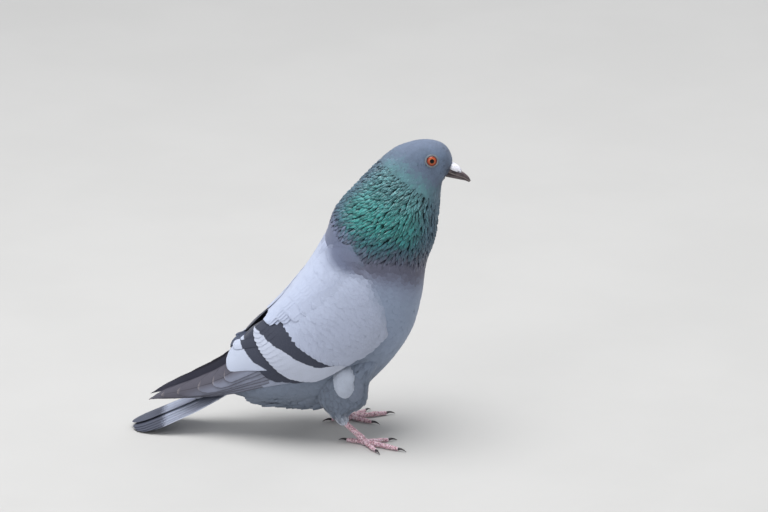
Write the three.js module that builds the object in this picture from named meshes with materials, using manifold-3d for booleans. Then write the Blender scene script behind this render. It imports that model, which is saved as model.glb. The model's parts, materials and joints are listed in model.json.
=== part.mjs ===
// A standing rock pigeon, life size, in millimetres: +X is the way it faces, +Y its left side, +Z up.
// The bird is modelled with x = 0 midway between its feet and z = 0 on the floor, and the whole group
// is then set so that the origin is the middle of its footprint, on the floor.
import * as THREE from "three";
import { mergeVertices } from "three/addons/utils/BufferGeometryUtils.js";
import Module from "manifold-3d";

const wasm = await Module();
wasm.setup();

// ---------------------------------------------------------------- driving dimensions
const GAP = 0.3; // clearance between touching nodes
const SKIN_CLEAR = 0.5; // nothing that stands on the body comes nearer to its skin than this
const VANE_THICK = 0.5; // thickness of a feather vane in the solids

// Body sections from the tail root to the bill base. Each is a plane cut through the body: where it
// meets the back line, where it meets the belly line, and half its width.
const BODY = [
  { back: [-97, 48], belly: [-96, 31.5], half: 14 },
  { back: [-82, 70], belly: [-76, 22.5], half: 23 },
  { back: [-66, 94], belly: [-48, 21], half: 31 },
  { back: [-50, 118.5], belly: [-16, 24], half: 36 },
  { back: [-37, 138.5], belly: [18, 51], half: 38 },
  { back: [-28, 155], belly: [41, 82.5], half: 39 },
  { back: [-23, 167], belly: [50, 111.5], half: 38 },
  { back: [-18.5, 181], belly: [54, 139.5], half: 34.5 },
  { back: [-10.5, 192.5], belly: [61, 162.5], half: 30 },
  { back: [1, 205.5], belly: [63.5, 182.5], half: 25.5 },
  { back: [14.5, 221], belly: [65, 197.5], half: 20.5 },
  { back: [29, 234], belly: [65.8, 204.5], half: 16.5 },
  { back: [43, 240], belly: [66.3, 207], half: 14 },
  { back: [54, 241.7], belly: [66.8, 208.5], half: 12.7 },
  { back: [63.5, 240.3], belly: [67.4, 209.5], half: 11.4 },
  { back: [70, 236], belly: [68.2, 210.5], half: 9.6 },
  { back: [73.6, 229], belly: [69.3, 211.7], half: 7.4 },
  { back: [74.6, 223], belly: [71, 213], half: 5 },
];
const NECK_FROM = 6.75; // where the neck starts, counted in BODY sections
const HEAD_FROM = 10.25; // where the head starts
const BODY_SIDES = 24;
const BODY_SQUARE = 2.15; // 2 is an ellipse, more is squarer

// The folded wing lies on a sheet from the shoulder (s = 0) to the tip of the longest primary. At each
// distance s, top is its edge by the spine, low its edge by the flank, and bulge how far it swells out.
const WING = [
  { s: -8, top: [2, 29, 159.5], low: [33, 33, 94.5], bulge: 3 },
  { s: 0, top: [-8, 26, 158.5], low: [28, 35, 88.5], bulge: 6 },
  { s: 25, top: [-26, 20, 149.5], low: [13, 37, 74.5], bulge: 9.5 },
  { s: 46, top: [-43, 15, 129.5], low: [-6, 36.5, 65.5], bulge: 11 },
  { s: 73, top: [-62, 12.5, 107.5], low: [-30, 34.5, 54.5], bulge: 10.5 },
  { s: 99, top: [-80, 12, 86.5], low: [-57, 31, 47], bulge: 7.5 },
  { s: 113, top: [-88.5, 12.5, 75], low: [-73, 28.5, 41.5], bulge: 5.5 },
  { s: 135, top: [-101, 13.5, 60.5], low: [-97, 24.5, 34.5], bulge: 3 },
  { s: 166, top: [-126, 12, 46.3], low: [-129, 17.5, 29], bulge: 1.5 },
  { s: 192, top: [-152, 8.5, 34.3], low: [-152, 12, 26], bulge: 0.5 },
  { s: 206, top: [-165, 6, 26.2], low: [-165, 9.5, 24.6], bulge: 0.2 },
];
const WING_TIP = 204;

// The solid part of the wing: how thick it is at the shoulder and at its rear end, where it thins out,
// how far its front bows forward, and where its face sinks under the feathers.
const CORE = {
  brow: 8,
  deep: 13,
  thin: 1.2,
  thinFrom: 66,
  thinTo: 100,
  end: 114,
  sunk: 2.5,
  sinkFrom: 30,
  sinkTo: 85,
};

// Heights are off the sheet. A feather's root is sunk in the core, ROOT_SUNK below its face, and the
// feather rises from there to its own height at the tip. TILT lifts its lower edge and drops its upper
// one, so that it lies over the next feather down and under the next one up.
const ROOT_SUNK = 1.1;
const TILT = 0.5;
const CREST = 0.1; // how much a feather's shaft stands over its edges

// Primaries, innermost first: where each tip is, and where its lower edge runs at the fold of the wing.
// Each lies over the next, which is longer.
const PRIMARIES = {
  tips: [137, 148, 161, 179, 193, WING_TIP],
  lowEdges: [0.66, 0.72, 0.8, 0.86, 0.92, 0.985],
  root: 84,
  rootHigh: -3.4,
  rootPitch: 0.45,
  high: 2.1,
  pitch: 0.9,
  levelFrom: 120,
  closing: [120, 200], // from where to where the lower edges run together
  closed: 0.8, // how far they do
  fold: 0.45, // the upper edge at the fold of the wing
  topFrom: [100, 130], // from where to where the upper edge comes up to the wing's own
  topStep: 0.015,
  shaft: 0.55, // share of the width above the shaft
  roundFrom: 0.84,
  stops: [0, 0.5, 0.83, 0.94, 1],
};

// The other feathers: where the tips are on the sheet, as s and t, how long the feathers are, half
// their width and how high they end.
const SECONDARIES = {
  tips: [
    [106, 0.61],
    [104.5, 0.73],
    [101, 0.84],
    [94, 0.93],
  ],
  long: 33,
  half: 4.6,
  high: 1,
  pitch: 0.9,
};
const TERTIALS = [
  { root: [70, 0.2], tip: [132, 0.07], half: 10.5, high: 3 },
  { root: [68, 0.1], tip: [121, -0.02], half: 7, high: 3.6 },
  { root: [66, 0.06], tip: [111, 0], half: 5.5, high: 4.1 },
];
const GREATER = {
  count: 6,
  from: 0.2,
  to: 0.9,
  long: 30,
  half: 5.2,
  high: 2.1,
  lowHigh: 0.1,
  ends: 99, // where the row of tips lies at its top
  bend: { forward: 8, from: 0.55 }, // and how it comes forward below
};
const MEDIAN = {
  count: 7,
  from: 0.12,
  to: 0.93,
  long: 24,
  half: 6.2,
  overCore: 1.6,
  ends: 79,
  bend: { forward: 4, from: 0.1, to: 0.5 },
  hook: { forward: 31, from: 0.42, over: 0.5, power: 1.3 }, // the sharp turn at its lower end
};
const SCAPULARS = [
  { tip: [92, 0], long: 34, half: 6.8, high: 3.4 },
  { tip: [89, 0.12], long: 34, half: 6.8, high: 3.4 },
  { tip: [82, 0.23], long: 34, half: 6.8, high: 3.4 },
  { tip: [70, 0.02], long: 30, half: 7.2, high: 2.2 },
  { tip: [66, 0.15], long: 30, half: 7.2, high: 2.2 },
  { tip: [58, 0.28], long: 30, half: 7.2, high: 2.2 },
];

// The tail's back runs straight from its root to its tip and droops to both sides.
const TAIL = {
  rootX: -97,
  rootZ: 40.6,
  tipX: -175.7,
  tipZ: 4.4,
  arch: 0.0105,
  pitch: 0.9, // from one feather down to the next
  coreLong: 0.2, // share of the tail's length
  coreHalf: 13,
};
// Tail feathers from the middle outwards: how far each reaches, how far out its root and tip lie, half
// its width.
const RECTRICES = [
  { reach: 1, root: 1.5, tip: 2.5, half: 9 },
  { reach: 0.995, root: 4.5, tip: 8, half: 7.5 },
  { reach: 0.985, root: 6, tip: 10.5, half: 7.5 },
  { reach: 0.965, root: 7.5, tip: 13, half: 7.5 },
  { reach: 0.93, root: 9, tip: 15, half: 7.3 },
  { reach: 0.86, root: 10.5, tip: 16.6, half: 6.6 },
];
const TAIL_COVERTS = [
  { reach: 0.34, tip: 0, half: 8.5 },
  { reach: 0.3, tip: 8, half: 6.5 },
  { reach: 0.3, tip: -8, half: 6.5 },
];

// The middle of each eye's opening on the cheek, and the way the cheek faces there.
const EYE = { at: [59.4, 12.4, 228.7], faces: [0.177, 1, 0.207], ball: 5.4, sink: 3.7 };
const LID = { radius: 4.8, thick: 0.75 };

// Bill stations from the face to the tip: culmen and tomium of the upper mandible, tomium and keel of
// the lower one, each as x and z, and the half width.
const BILL = [
  { culmen: [74.4, 222.6], gape: [71.6, 217.4], keel: [70.7, 213.2], half: 4.8 },
  { culmen: [77.8, 220.4], gape: [76, 215.2], keel: [75.4, 211.9], half: 4 },
  { culmen: [81.3, 217.7], gape: [80, 213.7], keel: [79.6, 210.9], half: 3.2 },
  { culmen: [84.6, 215.2], gape: [83.6, 212.3], keel: [83.4, 210.1], half: 2.4 },
  { culmen: [87.2, 212.4], gape: [86.2, 210.7], keel: [86, 209.2], half: 1.5 },
  { culmen: [88.6, 209.3], gape: [88, 209], keel: [87.2, 208.6], half: 0.5 },
];
const BILL_SIDES = 12;
// Lens shapes, each with its half sizes, its tilt and turn and its middle on the left side: the lobes of
// the cere, the nostril slits under its front and the line that the mouth draws on the cheek.
const CERE_LOBE = { size: [5.4, 2.8, 2.9], tilt: 0.5, turn: 0, at: [76.6, 1.8, 219.9], segments: [10, 7] };
const NOSTRIL = { size: [2.1, 0.9, 0.45], tilt: 0.5, turn: 0, at: [79.6, 3.1, 217.6], segments: [8, 6] };
const GAPE = { size: [4.2, 2.2, 0.35], tilt: 0.42, turn: -0.75, at: [69.6, 8, 218.4], segments: [8, 5] };

const LEG = {
  y: 28.5, // half the distance between the feet
  ankleY: 26.5,
  hipY: 21,
  ankle: { x: -14.4, z: 23.3 },
  foot: { x: 8.2, z: 3.6 },
};
const LEFT_BACK = 16.4; // the left foot stands this far behind the right one
const SHANK = { radius: 2.35, sides: 8 };
// The feathered leg, from the body down: height, where it ends in front and behind, half width.
const THIGH = [
  { z: 79, fore: 18, back: -18, half: 8 },
  { z: 66, fore: 20, back: -24, half: 13 },
  { z: 54, fore: 13.5, back: -28, half: 13 },
  { z: 44.5, fore: 11, back: -29, half: 12 },
  { z: 37, fore: 10.2, back: -28.5, half: 10.5 },
  { z: 31.7, fore: 8, back: -26, half: 9 },
  { z: 27.5, fore: 1.8, back: -22.3, half: 7 },
  { z: 23.4, fore: -4, back: -18.4, half: 5 },
  { z: 18.8, fore: -4.8, back: -13.6, half: 3.7 },
];
const THIGH_SIDES = 16;
const TOES = [
  { name: "hind", turn: 176, long: 15, radius: 1.8 },
  { name: "inner", turn: -50, long: 20, radius: 1.8 },
  { name: "middle", turn: 0, long: 30.5, radius: 2 },
  { name: "outer", turn: 34, long: 20.5, radius: 1.8 },
];
const TOE_OUT = 25; // degrees that each foot is turned outwards
const TOE_SIDES = 6;
const FOOT_PAD = { radius: 3.1, z: 2.5 };
const CLAW = { long: 7.2, radius: 1.2, tip: 0.3, tipZ: 0.4, arch: 1, sides: 6 };

// ---------------------------------------------------------------- small maths
const lerp = (a, b, f) => a + (b - a) * f;
const clamp = (v, low, high) => Math.min(high, Math.max(low, v));
const smooth = (f) => f * f * (3 - 2 * f);
const rise = (v, from, to) => smooth(clamp((v - from) / (to - from), 0, 1));
const vec = (x, y, z) => new THREE.Vector3(x, y, z);

// A smooth curve through rows of numbers: knots[i] is where row i lies.
function through(knots, rows, at) {
  const last = knots.length - 1;
  let i = 0;
  while (i < last - 1 && at > knots[i + 1]) i++;
  const span = knots[i + 1] - knots[i];
  const f = (at - knots[i]) / span;
  const slope = (k, c) => {
    const a = Math.max(k - 1, 0);
    const b = Math.min(k + 1, last);
    return (rows[b][c] - rows[a][c]) / (knots[b] - knots[a]);
  };
  return rows[i].map((_, c) => {
    if (f < 0) return rows[i][c] + slope(i, c) * f * span;
    if (f > 1) return rows[i + 1][c] + slope(i + 1, c) * (f - 1) * span;
    const f2 = f * f;
    const f3 = f2 * f;
    return (
      (2 * f3 - 3 * f2 + 1) * rows[i][c] +
      (f3 - 2 * f2 + f) * span * slope(i, c) +
      (3 * f2 - 2 * f3) * rows[i + 1][c] +
      (f3 - f2) * span * slope(i + 1, c)
    );
  });
}

const SIDES = [
  ["left", 1],
  ["right", -1],
];

// ---------------------------------------------------------------- solids
function geometryOf(points, faces) {
  const flat = new Float32Array(points.length * 3);
  points.forEach((p, i) => flat.set([p.x, p.y, p.z], i * 3));
  return new THREE.BufferGeometry()
    .setAttribute("position", new THREE.BufferAttribute(flat, 3))
    .setIndex(faces.flat());
}

function solidOf(geometry) {
  const plain = geometry.clone();
  plain.deleteAttribute("normal");
  plain.deleteAttribute("uv");
  const merged = mergeVertices(plain, 1e-4);
  const triVerts = new Uint32Array(merged.index.array);
  const vertProperties = new Float32Array(merged.attributes.position.array);
  const solid = new wasm.Manifold(new wasm.Mesh({ numProp: 3, vertProperties, triVerts }));
  if (solid.volume() > 0) return solid;
  for (let i = 0; i < triVerts.length; i += 3) {
    [triVerts[i + 1], triVerts[i + 2]] = [triVerts[i + 2], triVerts[i + 1]];
  }
  return new wasm.Manifold(new wasm.Mesh({ numProp: 3, vertProperties, triVerts }));
}

// A closed body through rings of points, with a flat fan over each end.
function loft(rings) {
  const sides = rings[0].length;
  const points = rings.flat();
  const faces = [];
  for (let i = 0; i + 1 < rings.length; i++) {
    for (let j = 0; j < sides; j++) {
      const a = i * sides + j;
      const b = i * sides + ((j + 1) % sides);
      faces.push([a, b, b + sides], [a, b + sides, a + sides]);
    }
  }
  for (const [ring, offset, turn] of [
    [rings[0], 0, 1],
    [rings.at(-1), (rings.length - 1) * sides, 0],
  ]) {
    const middle = points.length;
    points.push(ring.reduce((sum, p) => sum.add(p), vec(0, 0, 0)).divideScalar(sides));
    for (let j = 0; j < sides; j++) {
      const a = offset + j;
      const b = offset + ((j + 1) % sides);
      faces.push(turn ? [middle, b, a] : [middle, a, b]);
    }
  }
  return solidOf(geometryOf(points, faces));
}

// A closed slab between two grids of points, split into triangles alike on both faces.
function slab(upper, lower) {
  const rows = upper.length;
  const columns = upper[0].length;
  const points = [...upper.flat(), ...lower.flat()];
  const below = rows * columns;
  const faces = [];
  for (let i = 0; i + 1 < rows; i++) {
    for (let j = 0; j + 1 < columns; j++) {
      const a = i * columns + j;
      const [b, c, d] = [a + 1, a + columns, a + columns + 1];
      faces.push([a, b, d], [a, d, c]);
      faces.push([below + a, below + d, below + b], [below + a, below + c, below + d]);
    }
  }
  const rim = [];
  for (let j = 0; j < columns; j++) rim.push(j);
  for (let i = 1; i < rows; i++) rim.push(i * columns + columns - 1);
  for (let j = columns - 2; j >= 0; j--) rim.push((rows - 1) * columns + j);
  for (let i = rows - 2; i > 0; i--) rim.push(i * columns);
  rim.forEach((a, k) => {
    const b = rim[(k + 1) % rim.length];
    faces.push([a, below + b, b], [a, below + a, below + b]);
  });
  return solidOf(geometryOf(points, faces));
}

const union = (solids) => wasm.Manifold.union(solids);
const largest = (solid) =>
  solid.decompose().reduce((best, s) => (s.volume() > best.volume() ? s : best));

// A feather vane over a curved surface. place(f, c) gives where on the surface each point of it lies and
// how high, f running from root to tip and c from one edge to the other; surface turns that to a point.
const VANE_EDGES = [-1, 0, 1];

function vane(surface, place, stops) {
  const grid = (drop) =>
    stops.map((f) =>
      VANE_EDGES.map((c) => {
        const [a, b, high] = place(f, c);
        return surface(a, b, high + CREST * (1 - Math.abs(c)) - drop);
      }),
    );
  return slab(grid(0), grid(VANE_THICK));
}

// How wide a feather is along its length, as a share of its widest: narrow at its root, its tip round.
// The stops are where along it the points of a vane lie.
const VANE = { rootWide: 0.4, widestAt: 0.45, roundFrom: 0.7, blunt: 0.97 };
const LONG_STOPS = [0, 0.5, 0.8, 0.94, 1];
const SHORT_STOPS = [0, 0.55, 0.87, 1];
const roundTip = (f, from) => Math.sqrt(1 - VANE.blunt * clamp((f - from) / (1 - from), 0, 1) ** 2);
const taper = (f) => lerp(VANE.rootWide, 1, rise(f, 0, VANE.widestAt)) * roundTip(f, VANE.roundFrom);

// A rounded tapering tube: stations of centre and radius, ring planes across the path.
function tube(stations, sides) {
  const rings = stations.map(({ at, radius }, i) => {
    const before = stations[Math.max(i - 1, 0)].at;
    const after = stations[Math.min(i + 1, stations.length - 1)].at;
    const along = after.clone().sub(before).normalize();
    const side = vec(0, 0, 1).cross(along).normalize();
    const up = along.clone().cross(side);
    return Array.from({ length: sides }, (_, j) => {
      const turn = ((j + 0.5) / sides) * 2 * Math.PI;
      return at
        .clone()
        .addScaledVector(side, radius * Math.cos(turn))
        .addScaledVector(up, radius * Math.sin(turn));
    });
  });
  return loft(rings);
}

// ---------------------------------------------------------------- torso, neck and head
const bodyRows = BODY.map(({ back, belly, half }) => [...back, ...belly, half]);
const bodyKnots = BODY.map((_, i) => i);

// One point of the body's skin: at counts sections, turn goes round from the back, grow swells it.
function bodyPoint(at, turn, grow = 0) {
  const [bx, bz, vx, vz, half] = through(bodyKnots, bodyRows, at);
  const tall = Math.hypot(bx - vx, bz - vz) / 2;
  const swell = (tall + grow) / tall;
  const power = 2 / BODY_SQUARE;
  const c = Math.sign(Math.cos(turn)) * Math.abs(Math.cos(turn)) ** power;
  const s = Math.sign(Math.sin(turn)) * Math.abs(Math.sin(turn)) ** power;
  return vec(
    (bx + vx) / 2 + ((bx - vx) / 2) * swell * c,
    (half + grow) * s,
    (bz + vz) / 2 + ((bz - vz) / 2) * swell * c,
  );
}

function bodyLoft(from, to, grow, steps) {
  const rings = [];
  for (let i = 0; i <= steps; i++) {
    const at = lerp(from, to, i / steps);
    const turns = Array.from({ length: BODY_SIDES }, (_, j) => (j / BODY_SIDES) * 2 * Math.PI);
    rings.push(turns.map((turn) => bodyPoint(at, turn, grow)));
  }
  return loft(rings);
}

// The plane of a body section: its unit normal, pointing towards the bill, and its distance.
function bodyPlane(at) {
  const [bx, bz, vx, vz] = through(bodyKnots, bodyRows, at);
  const normal = vec(bz - vz, 0, vx - bx).normalize();
  return { normal: [normal.x, normal.y, normal.z], offset: normal.x * bx + normal.z * bz };
}
const ahead = (solid, { normal, offset }) => solid.trimByPlane(normal, offset + GAP / 2);
const behind = (solid, { normal, offset }) =>
  solid.trimByPlane(
    normal.map((n) => -n),
    -offset + GAP / 2,
  );

// How far a point is from the body's axis, 1 being on the skin swollen by grow. Null behind the body.
function bodyReach(p, grow) {
  let low = 0;
  let high = BODY.length - 1;
  for (let i = 0; i < 22; i++) {
    const middle = (low + high) / 2;
    const { normal, offset } = bodyPlane(middle);
    if (normal[0] * p.x + normal[2] * p.z > offset) low = middle;
    else high = middle;
  }
  if (low === 0) return null;
  const [bx, bz, vx, vz, half] = through(bodyKnots, bodyRows, low);
  const tall = Math.hypot(bx - vx, bz - vz) / 2;
  const centre = vec((bx + vx) / 2, 0, (bz + vz) / 2);
  const up = ((p.x - centre.x) * (bx - vx) + (p.z - centre.z) * (bz - vz)) / (2 * tall);
  const high2 = Math.abs(up / (tall + grow)) ** BODY_SQUARE;
  const wide2 = Math.abs(p.y / (half + grow)) ** BODY_SQUARE;
  return { centre, reach: (high2 + wide2) ** (1 / BODY_SQUARE) };
}

// The point, moved straight out from the body's axis as far as it takes to clear the skin by cover.
function clearOf(p, cover) {
  const found = bodyReach(p, cover);
  if (!found || found.reach >= 1) return p;
  return found.centre.clone().lerp(p, 1 / found.reach);
}

// ---------------------------------------------------------------- the folded wing's sheet
const wingKnots = WING.map(({ s }) => s);
const wingRows = WING.map(({ top, low, bulge }) => [...top, ...low, bulge]);

// How far the sheet must clear the skin: little by the back and the shoulder, more by the lower edge.
const wingCover = (s, t) =>
  1.3 +
  2.3 * rise(s, 20, 70) +
  rise(s, -8, 18) * (2 * Math.sqrt(clamp(4 * t * (1 - t), 0, 1)) + 1.8 * rise(t, 0.4, 1));

function wingPoint(s, t) {
  const [ax, ay, az, bx, by, bz, bulge] = through(wingKnots, wingRows, s);
  const across = vec(bx - ax, by - ay, bz - az);
  const out = vec(0, Math.hypot(across.x, across.z), 0)
    .addScaledVector(vec(across.x, 0, across.z).normalize(), -across.y)
    .normalize();
  const p = vec(ax, ay, az)
    .addScaledVector(across, t)
    .addScaledVector(out, bulge * 4 * t * (1 - t));
  return clearOf(p, wingCover(s, t));
}

// A point raised off the sheet by lift, side +1 for the left wing and -1 for the right.
function offWing(s, t, lift, side) {
  const step = 0.5;
  const p = wingPoint(s, t);
  const along = wingPoint(s + step, t).sub(wingPoint(s - step, t));
  const across = wingPoint(s, t + 0.01).sub(wingPoint(s, t - 0.01));
  const normal = across.cross(along).normalize();
  if (normal.y < 0) normal.negate();
  p.addScaledVector(normal, lift);
  return vec(p.x, p.y * side, p.z);
}

// The core's outer face is the sheet at the shoulder and sinks further back. Its inner face runs in to
// the body.
const coreFace = (s) => -CORE.sunk * rise(s, CORE.sinkFrom, CORE.sinkTo);

function wingCore(side, grow) {
  const rows = 13;
  const columns = 7;
  const beyond = grow / chord(CORE.sinkFrom);
  const grid = (lift) =>
    Array.from({ length: rows }, (_, i) =>
      Array.from({ length: columns }, (__, j) => {
        const t = lerp(-beyond, 1 + beyond, j / (columns - 1));
        const front = WING[0].s - CORE.brow * 4 * t * (1 - t) - grow;
        const s = lerp(front, CORE.end, i / (rows - 1));
        return offWing(s, t, lift(s), side);
      }),
    );
  const depth = (s) => lerp(CORE.deep, CORE.thin, rise(s, CORE.thinFrom, CORE.thinTo));
  const inner = (s) => coreFace(s) - depth(s) - grow;
  return slab(grid((s) => coreFace(s) + grow), grid(inner));
}

const chord = (s) => {
  const [ax, ay, az, bx, by, bz] = through(wingKnots, wingRows, s);
  return Math.hypot(bx - ax, by - ay, bz - az);
};

// One feather of the wing from its root to its tip, both places on the sheet, with half its width.
// A flat one lies level from edge to edge and rises early.
function wingFeather(side, { root, tip, half, high, flat = false }, stops) {
  const place = (f, c) => {
    const s = lerp(root[0], tip[0], f);
    const t = lerp(root[1], tip[1], f);
    const wide = chord(s);
    const run = tip[0] - root[0];
    const across = (tip[1] - root[1]) * wide;
    const off = (c * half * taper(f)) / Math.hypot(run, across);
    const level = lerp(coreFace(root[0]) - ROOT_SUNK, high, flat ? Math.sqrt(f) : f);
    const tilt = flat ? 0 : TILT * c * rise(f, 0, 0.5);
    return [s - across * off, t + (run * off) / wide, level + tilt];
  };
  return vane((a, b, up) => offWing(a, b, up, side), place, stops);
}

function primary(side, i) {
  const { tips, lowEdges, root, rootHigh, rootPitch, high, pitch, levelFrom } = PRIMARIES;
  const { closing, closed, fold, topFrom, topStep, shaft, roundFrom, stops } = PRIMARIES;
  const place = (f, c) => {
    const s = lerp(root, tips[i], f);
    const low = lerp(lowEdges[i], 1, closed * rise(s, ...closing));
    const top = lerp(fold, topStep * (tips.length - i), rise(s, ...topFrom));
    const middle = lerp(top, low, shaft);
    const edge = c < 0 ? top : low;
    const level = lerp(rootHigh - rootPitch * i, high - pitch * i, rise(s, root, levelFrom));
    return [s, lerp(middle, edge, Math.abs(c) * roundTip(f, roundFrom)), level];
  };
  return vane((a, b, up) => offWing(a, b, up, side), place, stops);
}

// Where the greater and the median coverts end: the median line curves forward at its lower end.
const greaterTip = (t) => [GREATER.ends - GREATER.bend.forward * rise(t, GREATER.bend.from, 1), t];
function medianTip(t) {
  const { ends, bend, hook } = MEDIAN;
  const hooked = clamp((t - hook.from) / hook.over, 0, 1) ** hook.power;
  return [ends - bend.forward * rise(t, bend.from, bend.to) - hook.forward * hooked, t];
}

// Places at even steps along such a line.
function evenly(line, { count, from, to }) {
  const fine = Array.from({ length: 60 }, (_, i) => line(lerp(from, to, i / 59)));
  const reached = [0];
  for (let i = 1; i < fine.length; i++) {
    const [s, t] = fine[i];
    const step = Math.hypot(s - fine[i - 1][0], (t - fine[i - 1][1]) * chord(s));
    reached.push(reached[i - 1] + step);
  }
  return Array.from({ length: count }, (_, i) => {
    const wanted = (reached.at(-1) * i) / (count - 1);
    return fine[Math.max(reached.findIndex((r) => r >= wanted - 1e-6), 0)];
  });
}

function wingFeathers(side) {
  const made = PRIMARIES.tips.map((_, i) => primary(side, i));
  const { long, half, high, pitch } = SECONDARIES;
  SECONDARIES.tips.forEach(([s, t], i) => {
    const spec = { root: [s - long, t - 0.03], tip: [s, t], half, high: high - pitch * i };
    made.push(wingFeather(side, spec, LONG_STOPS));
  });
  for (const spec of TERTIALS) made.push(wingFeather(side, { ...spec, flat: true }, LONG_STOPS));
  for (const [s, t] of evenly(greaterTip, GREATER)) {
    const level = lerp(GREATER.high, GREATER.lowHigh, rise(t, 0.3, 0.85));
    const spec = { root: [s - GREATER.long, t + 0.02], tip: [s, t], half: GREATER.half, high: level };
    made.push(wingFeather(side, spec, SHORT_STOPS));
  }
  for (const [s, t] of evenly(medianTip, MEDIAN)) {
    const level = coreFace(s) + MEDIAN.overCore;
    const spec = { root: [s - MEDIAN.long, t - 0.02], tip: [s, t], half: MEDIAN.half, high: level };
    made.push(wingFeather(side, spec, SHORT_STOPS));
  }
  for (const { tip, long, half, high } of SCAPULARS) {
    const root = [tip[0] - long, 0.8 * tip[1] + 0.05];
    made.push(wingFeather(side, { root, tip, half, high }, SHORT_STOPS));
  }
  return made;
}

// ---------------------------------------------------------------- tail
// A point of the tail's back: f runs from root to tip, y is across, lift is off the surface.
function tailPoint(f, y, lift) {
  const x = lerp(TAIL.rootX, TAIL.tipX, f);
  const z = lerp(TAIL.rootZ, TAIL.tipZ, f);
  const lean = Math.atan2(TAIL.rootZ - TAIL.tipZ, TAIL.rootX - TAIL.tipX);
  const turn = 2 * TAIL.arch * y;
  return vec(
    x - lift * Math.sin(lean),
    y + lift * Math.sin(turn),
    z - TAIL.arch * y * y + lift * Math.cos(lean),
  );
}

const TAIL_LAYERS = RECTRICES.length + 1;

// The wedge that the tail feathers grow from, buried among their roots.
function tailCore() {
  const rows = 3;
  const columns = 5;
  const grid = (lift) =>
    Array.from({ length: rows }, (_, i) =>
      Array.from({ length: columns }, (__, j) => {
        const c = (2 * j) / (columns - 1) - 1;
        return tailPoint((TAIL.coreLong * i) / (rows - 1), TAIL.coreHalf * c, lift(i / (rows - 1), c));
      }),
    );
  const stack = TAIL.pitch * TAIL_LAYERS;
  return slab(
    grid((f, c) => lerp(3, -0.3, f) * (1 - c * c)),
    grid((f, c) => -lerp(stack + 4 * (1 - c * c), stack - 0.2, f)),
  );
}

function rectrix(side, i) {
  const { reach, root, tip, half } = RECTRICES[i];
  const layer = i === 0 ? (side > 0 ? 1 : 0) : i + 1;
  const place = (f, c) => {
    const middle = side * lerp(root, tip, Math.sqrt(f));
    const y = middle + c * half * taper(f);
    const kept = i === 0 ? y : side * Math.max(side * y, 0.2);
    return [f * reach, kept, -TAIL.pitch * layer];
  };
  return vane(tailPoint, place, [0, 0.5, 0.82, 0.95, 1]);
}

// A covert over the tail's root, or one under it.
function tailCovert({ reach, tip, half }, i, over) {
  const lowest = -TAIL.pitch * TAIL_LAYERS;
  const rootHigh = over ? 1.4 : lowest + 0.2;
  const tipHigh = over ? 0.95 - 0.05 * i : lowest - (i === 0 ? 1.3 : 0.5);
  const place = (f, c) => {
    const y = (tip * (1 + f)) / 2 + c * half * taper(f);
    return [f * (over ? reach : reach + 0.1), y, lerp(rootHigh, tipHigh, f)];
  };
  return vane(tailPoint, place, SHORT_STOPS);
}

function tail() {
  const made = [tailCore()];
  for (const [, side] of SIDES) RECTRICES.forEach((_, i) => made.push(rectrix(side, i)));
  for (const over of [true, false]) {
    TAIL_COVERTS.forEach((covert, i) => made.push(tailCovert(covert, i, over)));
  }
  return union(made).trimByPlane([0, 0, 1], 0);
}

// ---------------------------------------------------------------- eyes, lids and bill
// Turns a shape made about the z axis to look out of the eye's opening on the given side.
function setInCheek(geometry, side, sink) {
  const out = vec(...EYE.faces).normalize();
  geometry.applyQuaternion(new THREE.Quaternion().setFromUnitVectors(vec(0, 0, 1), out));
  geometry.translate(...vec(...EYE.at).addScaledVector(out, -sink).toArray());
  geometry.scale(1, side, 1);
  return solidOf(geometry);
}

function eyeball(side, grow) {
  const ball = new THREE.SphereGeometry(EYE.ball + grow, 14, 8);
  ball.rotateX(Math.PI / 2);
  return setInCheek(ball, side, EYE.sink);
}
const lidRing = (side) => setInCheek(new THREE.TorusGeometry(LID.radius, LID.thick, 5, 14), side, 0.1);

function billHalf(upper) {
  const rings = BILL.map(({ culmen, gape, keel, half }, i) => {
    const top = upper ? culmen : gape;
    const low = upper ? gape : keel;
    const shrink = i === BILL.length - 1 ? 0.6 : 1;
    return Array.from({ length: BILL_SIDES }, (_, j) => {
      const turn = ((j + 0.5) / BILL_SIDES) * 2 * Math.PI;
      const up = upper ? Math.max(Math.cos(turn), -0.45) : Math.min(Math.cos(turn), 0.45);
      const f = upper ? (up + 0.45) / 1.45 : (up + 1) / 1.45;
      return vec(lerp(low[0], top[0], f), Math.sin(turn) * half * shrink, lerp(low[1], top[1], f));
    });
  });
  return loft(rings);
}

function lens({ size, tilt, turn, at, segments }, side, grow = 0) {
  const shape = new THREE.SphereGeometry(1, ...segments);
  shape.scale(...size.map((half) => half + grow));
  shape.rotateY(tilt);
  shape.rotateZ(turn);
  shape.translate(...at);
  shape.scale(1, side, 1);
  return solidOf(shape);
}

// ---------------------------------------------------------------- legs and feet
function legPlaces(side) {
  const back = side > 0 ? LEFT_BACK : 0;
  return {
    ankle: vec(LEG.ankle.x - back, side * LEG.ankleY, LEG.ankle.z),
    foot: vec(LEG.foot.x - back, side * LEG.y, LEG.foot.z),
    back,
  };
}

function shank(side, grow) {
  const { ankle, foot } = legPlaces(side);
  const spots = [
    [0, 1.15],
    [0.25, 1],
    [0.6, 0.92],
    [0.9, 1.08],
    [1, 1.15],
  ];
  const stations = spots.map(([f, fat]) => ({
    at: ankle.clone().lerp(foot, f * 0.93),
    radius: SHANK.radius * fat + grow,
  }));
  return tube(stations, SHANK.sides);
}

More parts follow.
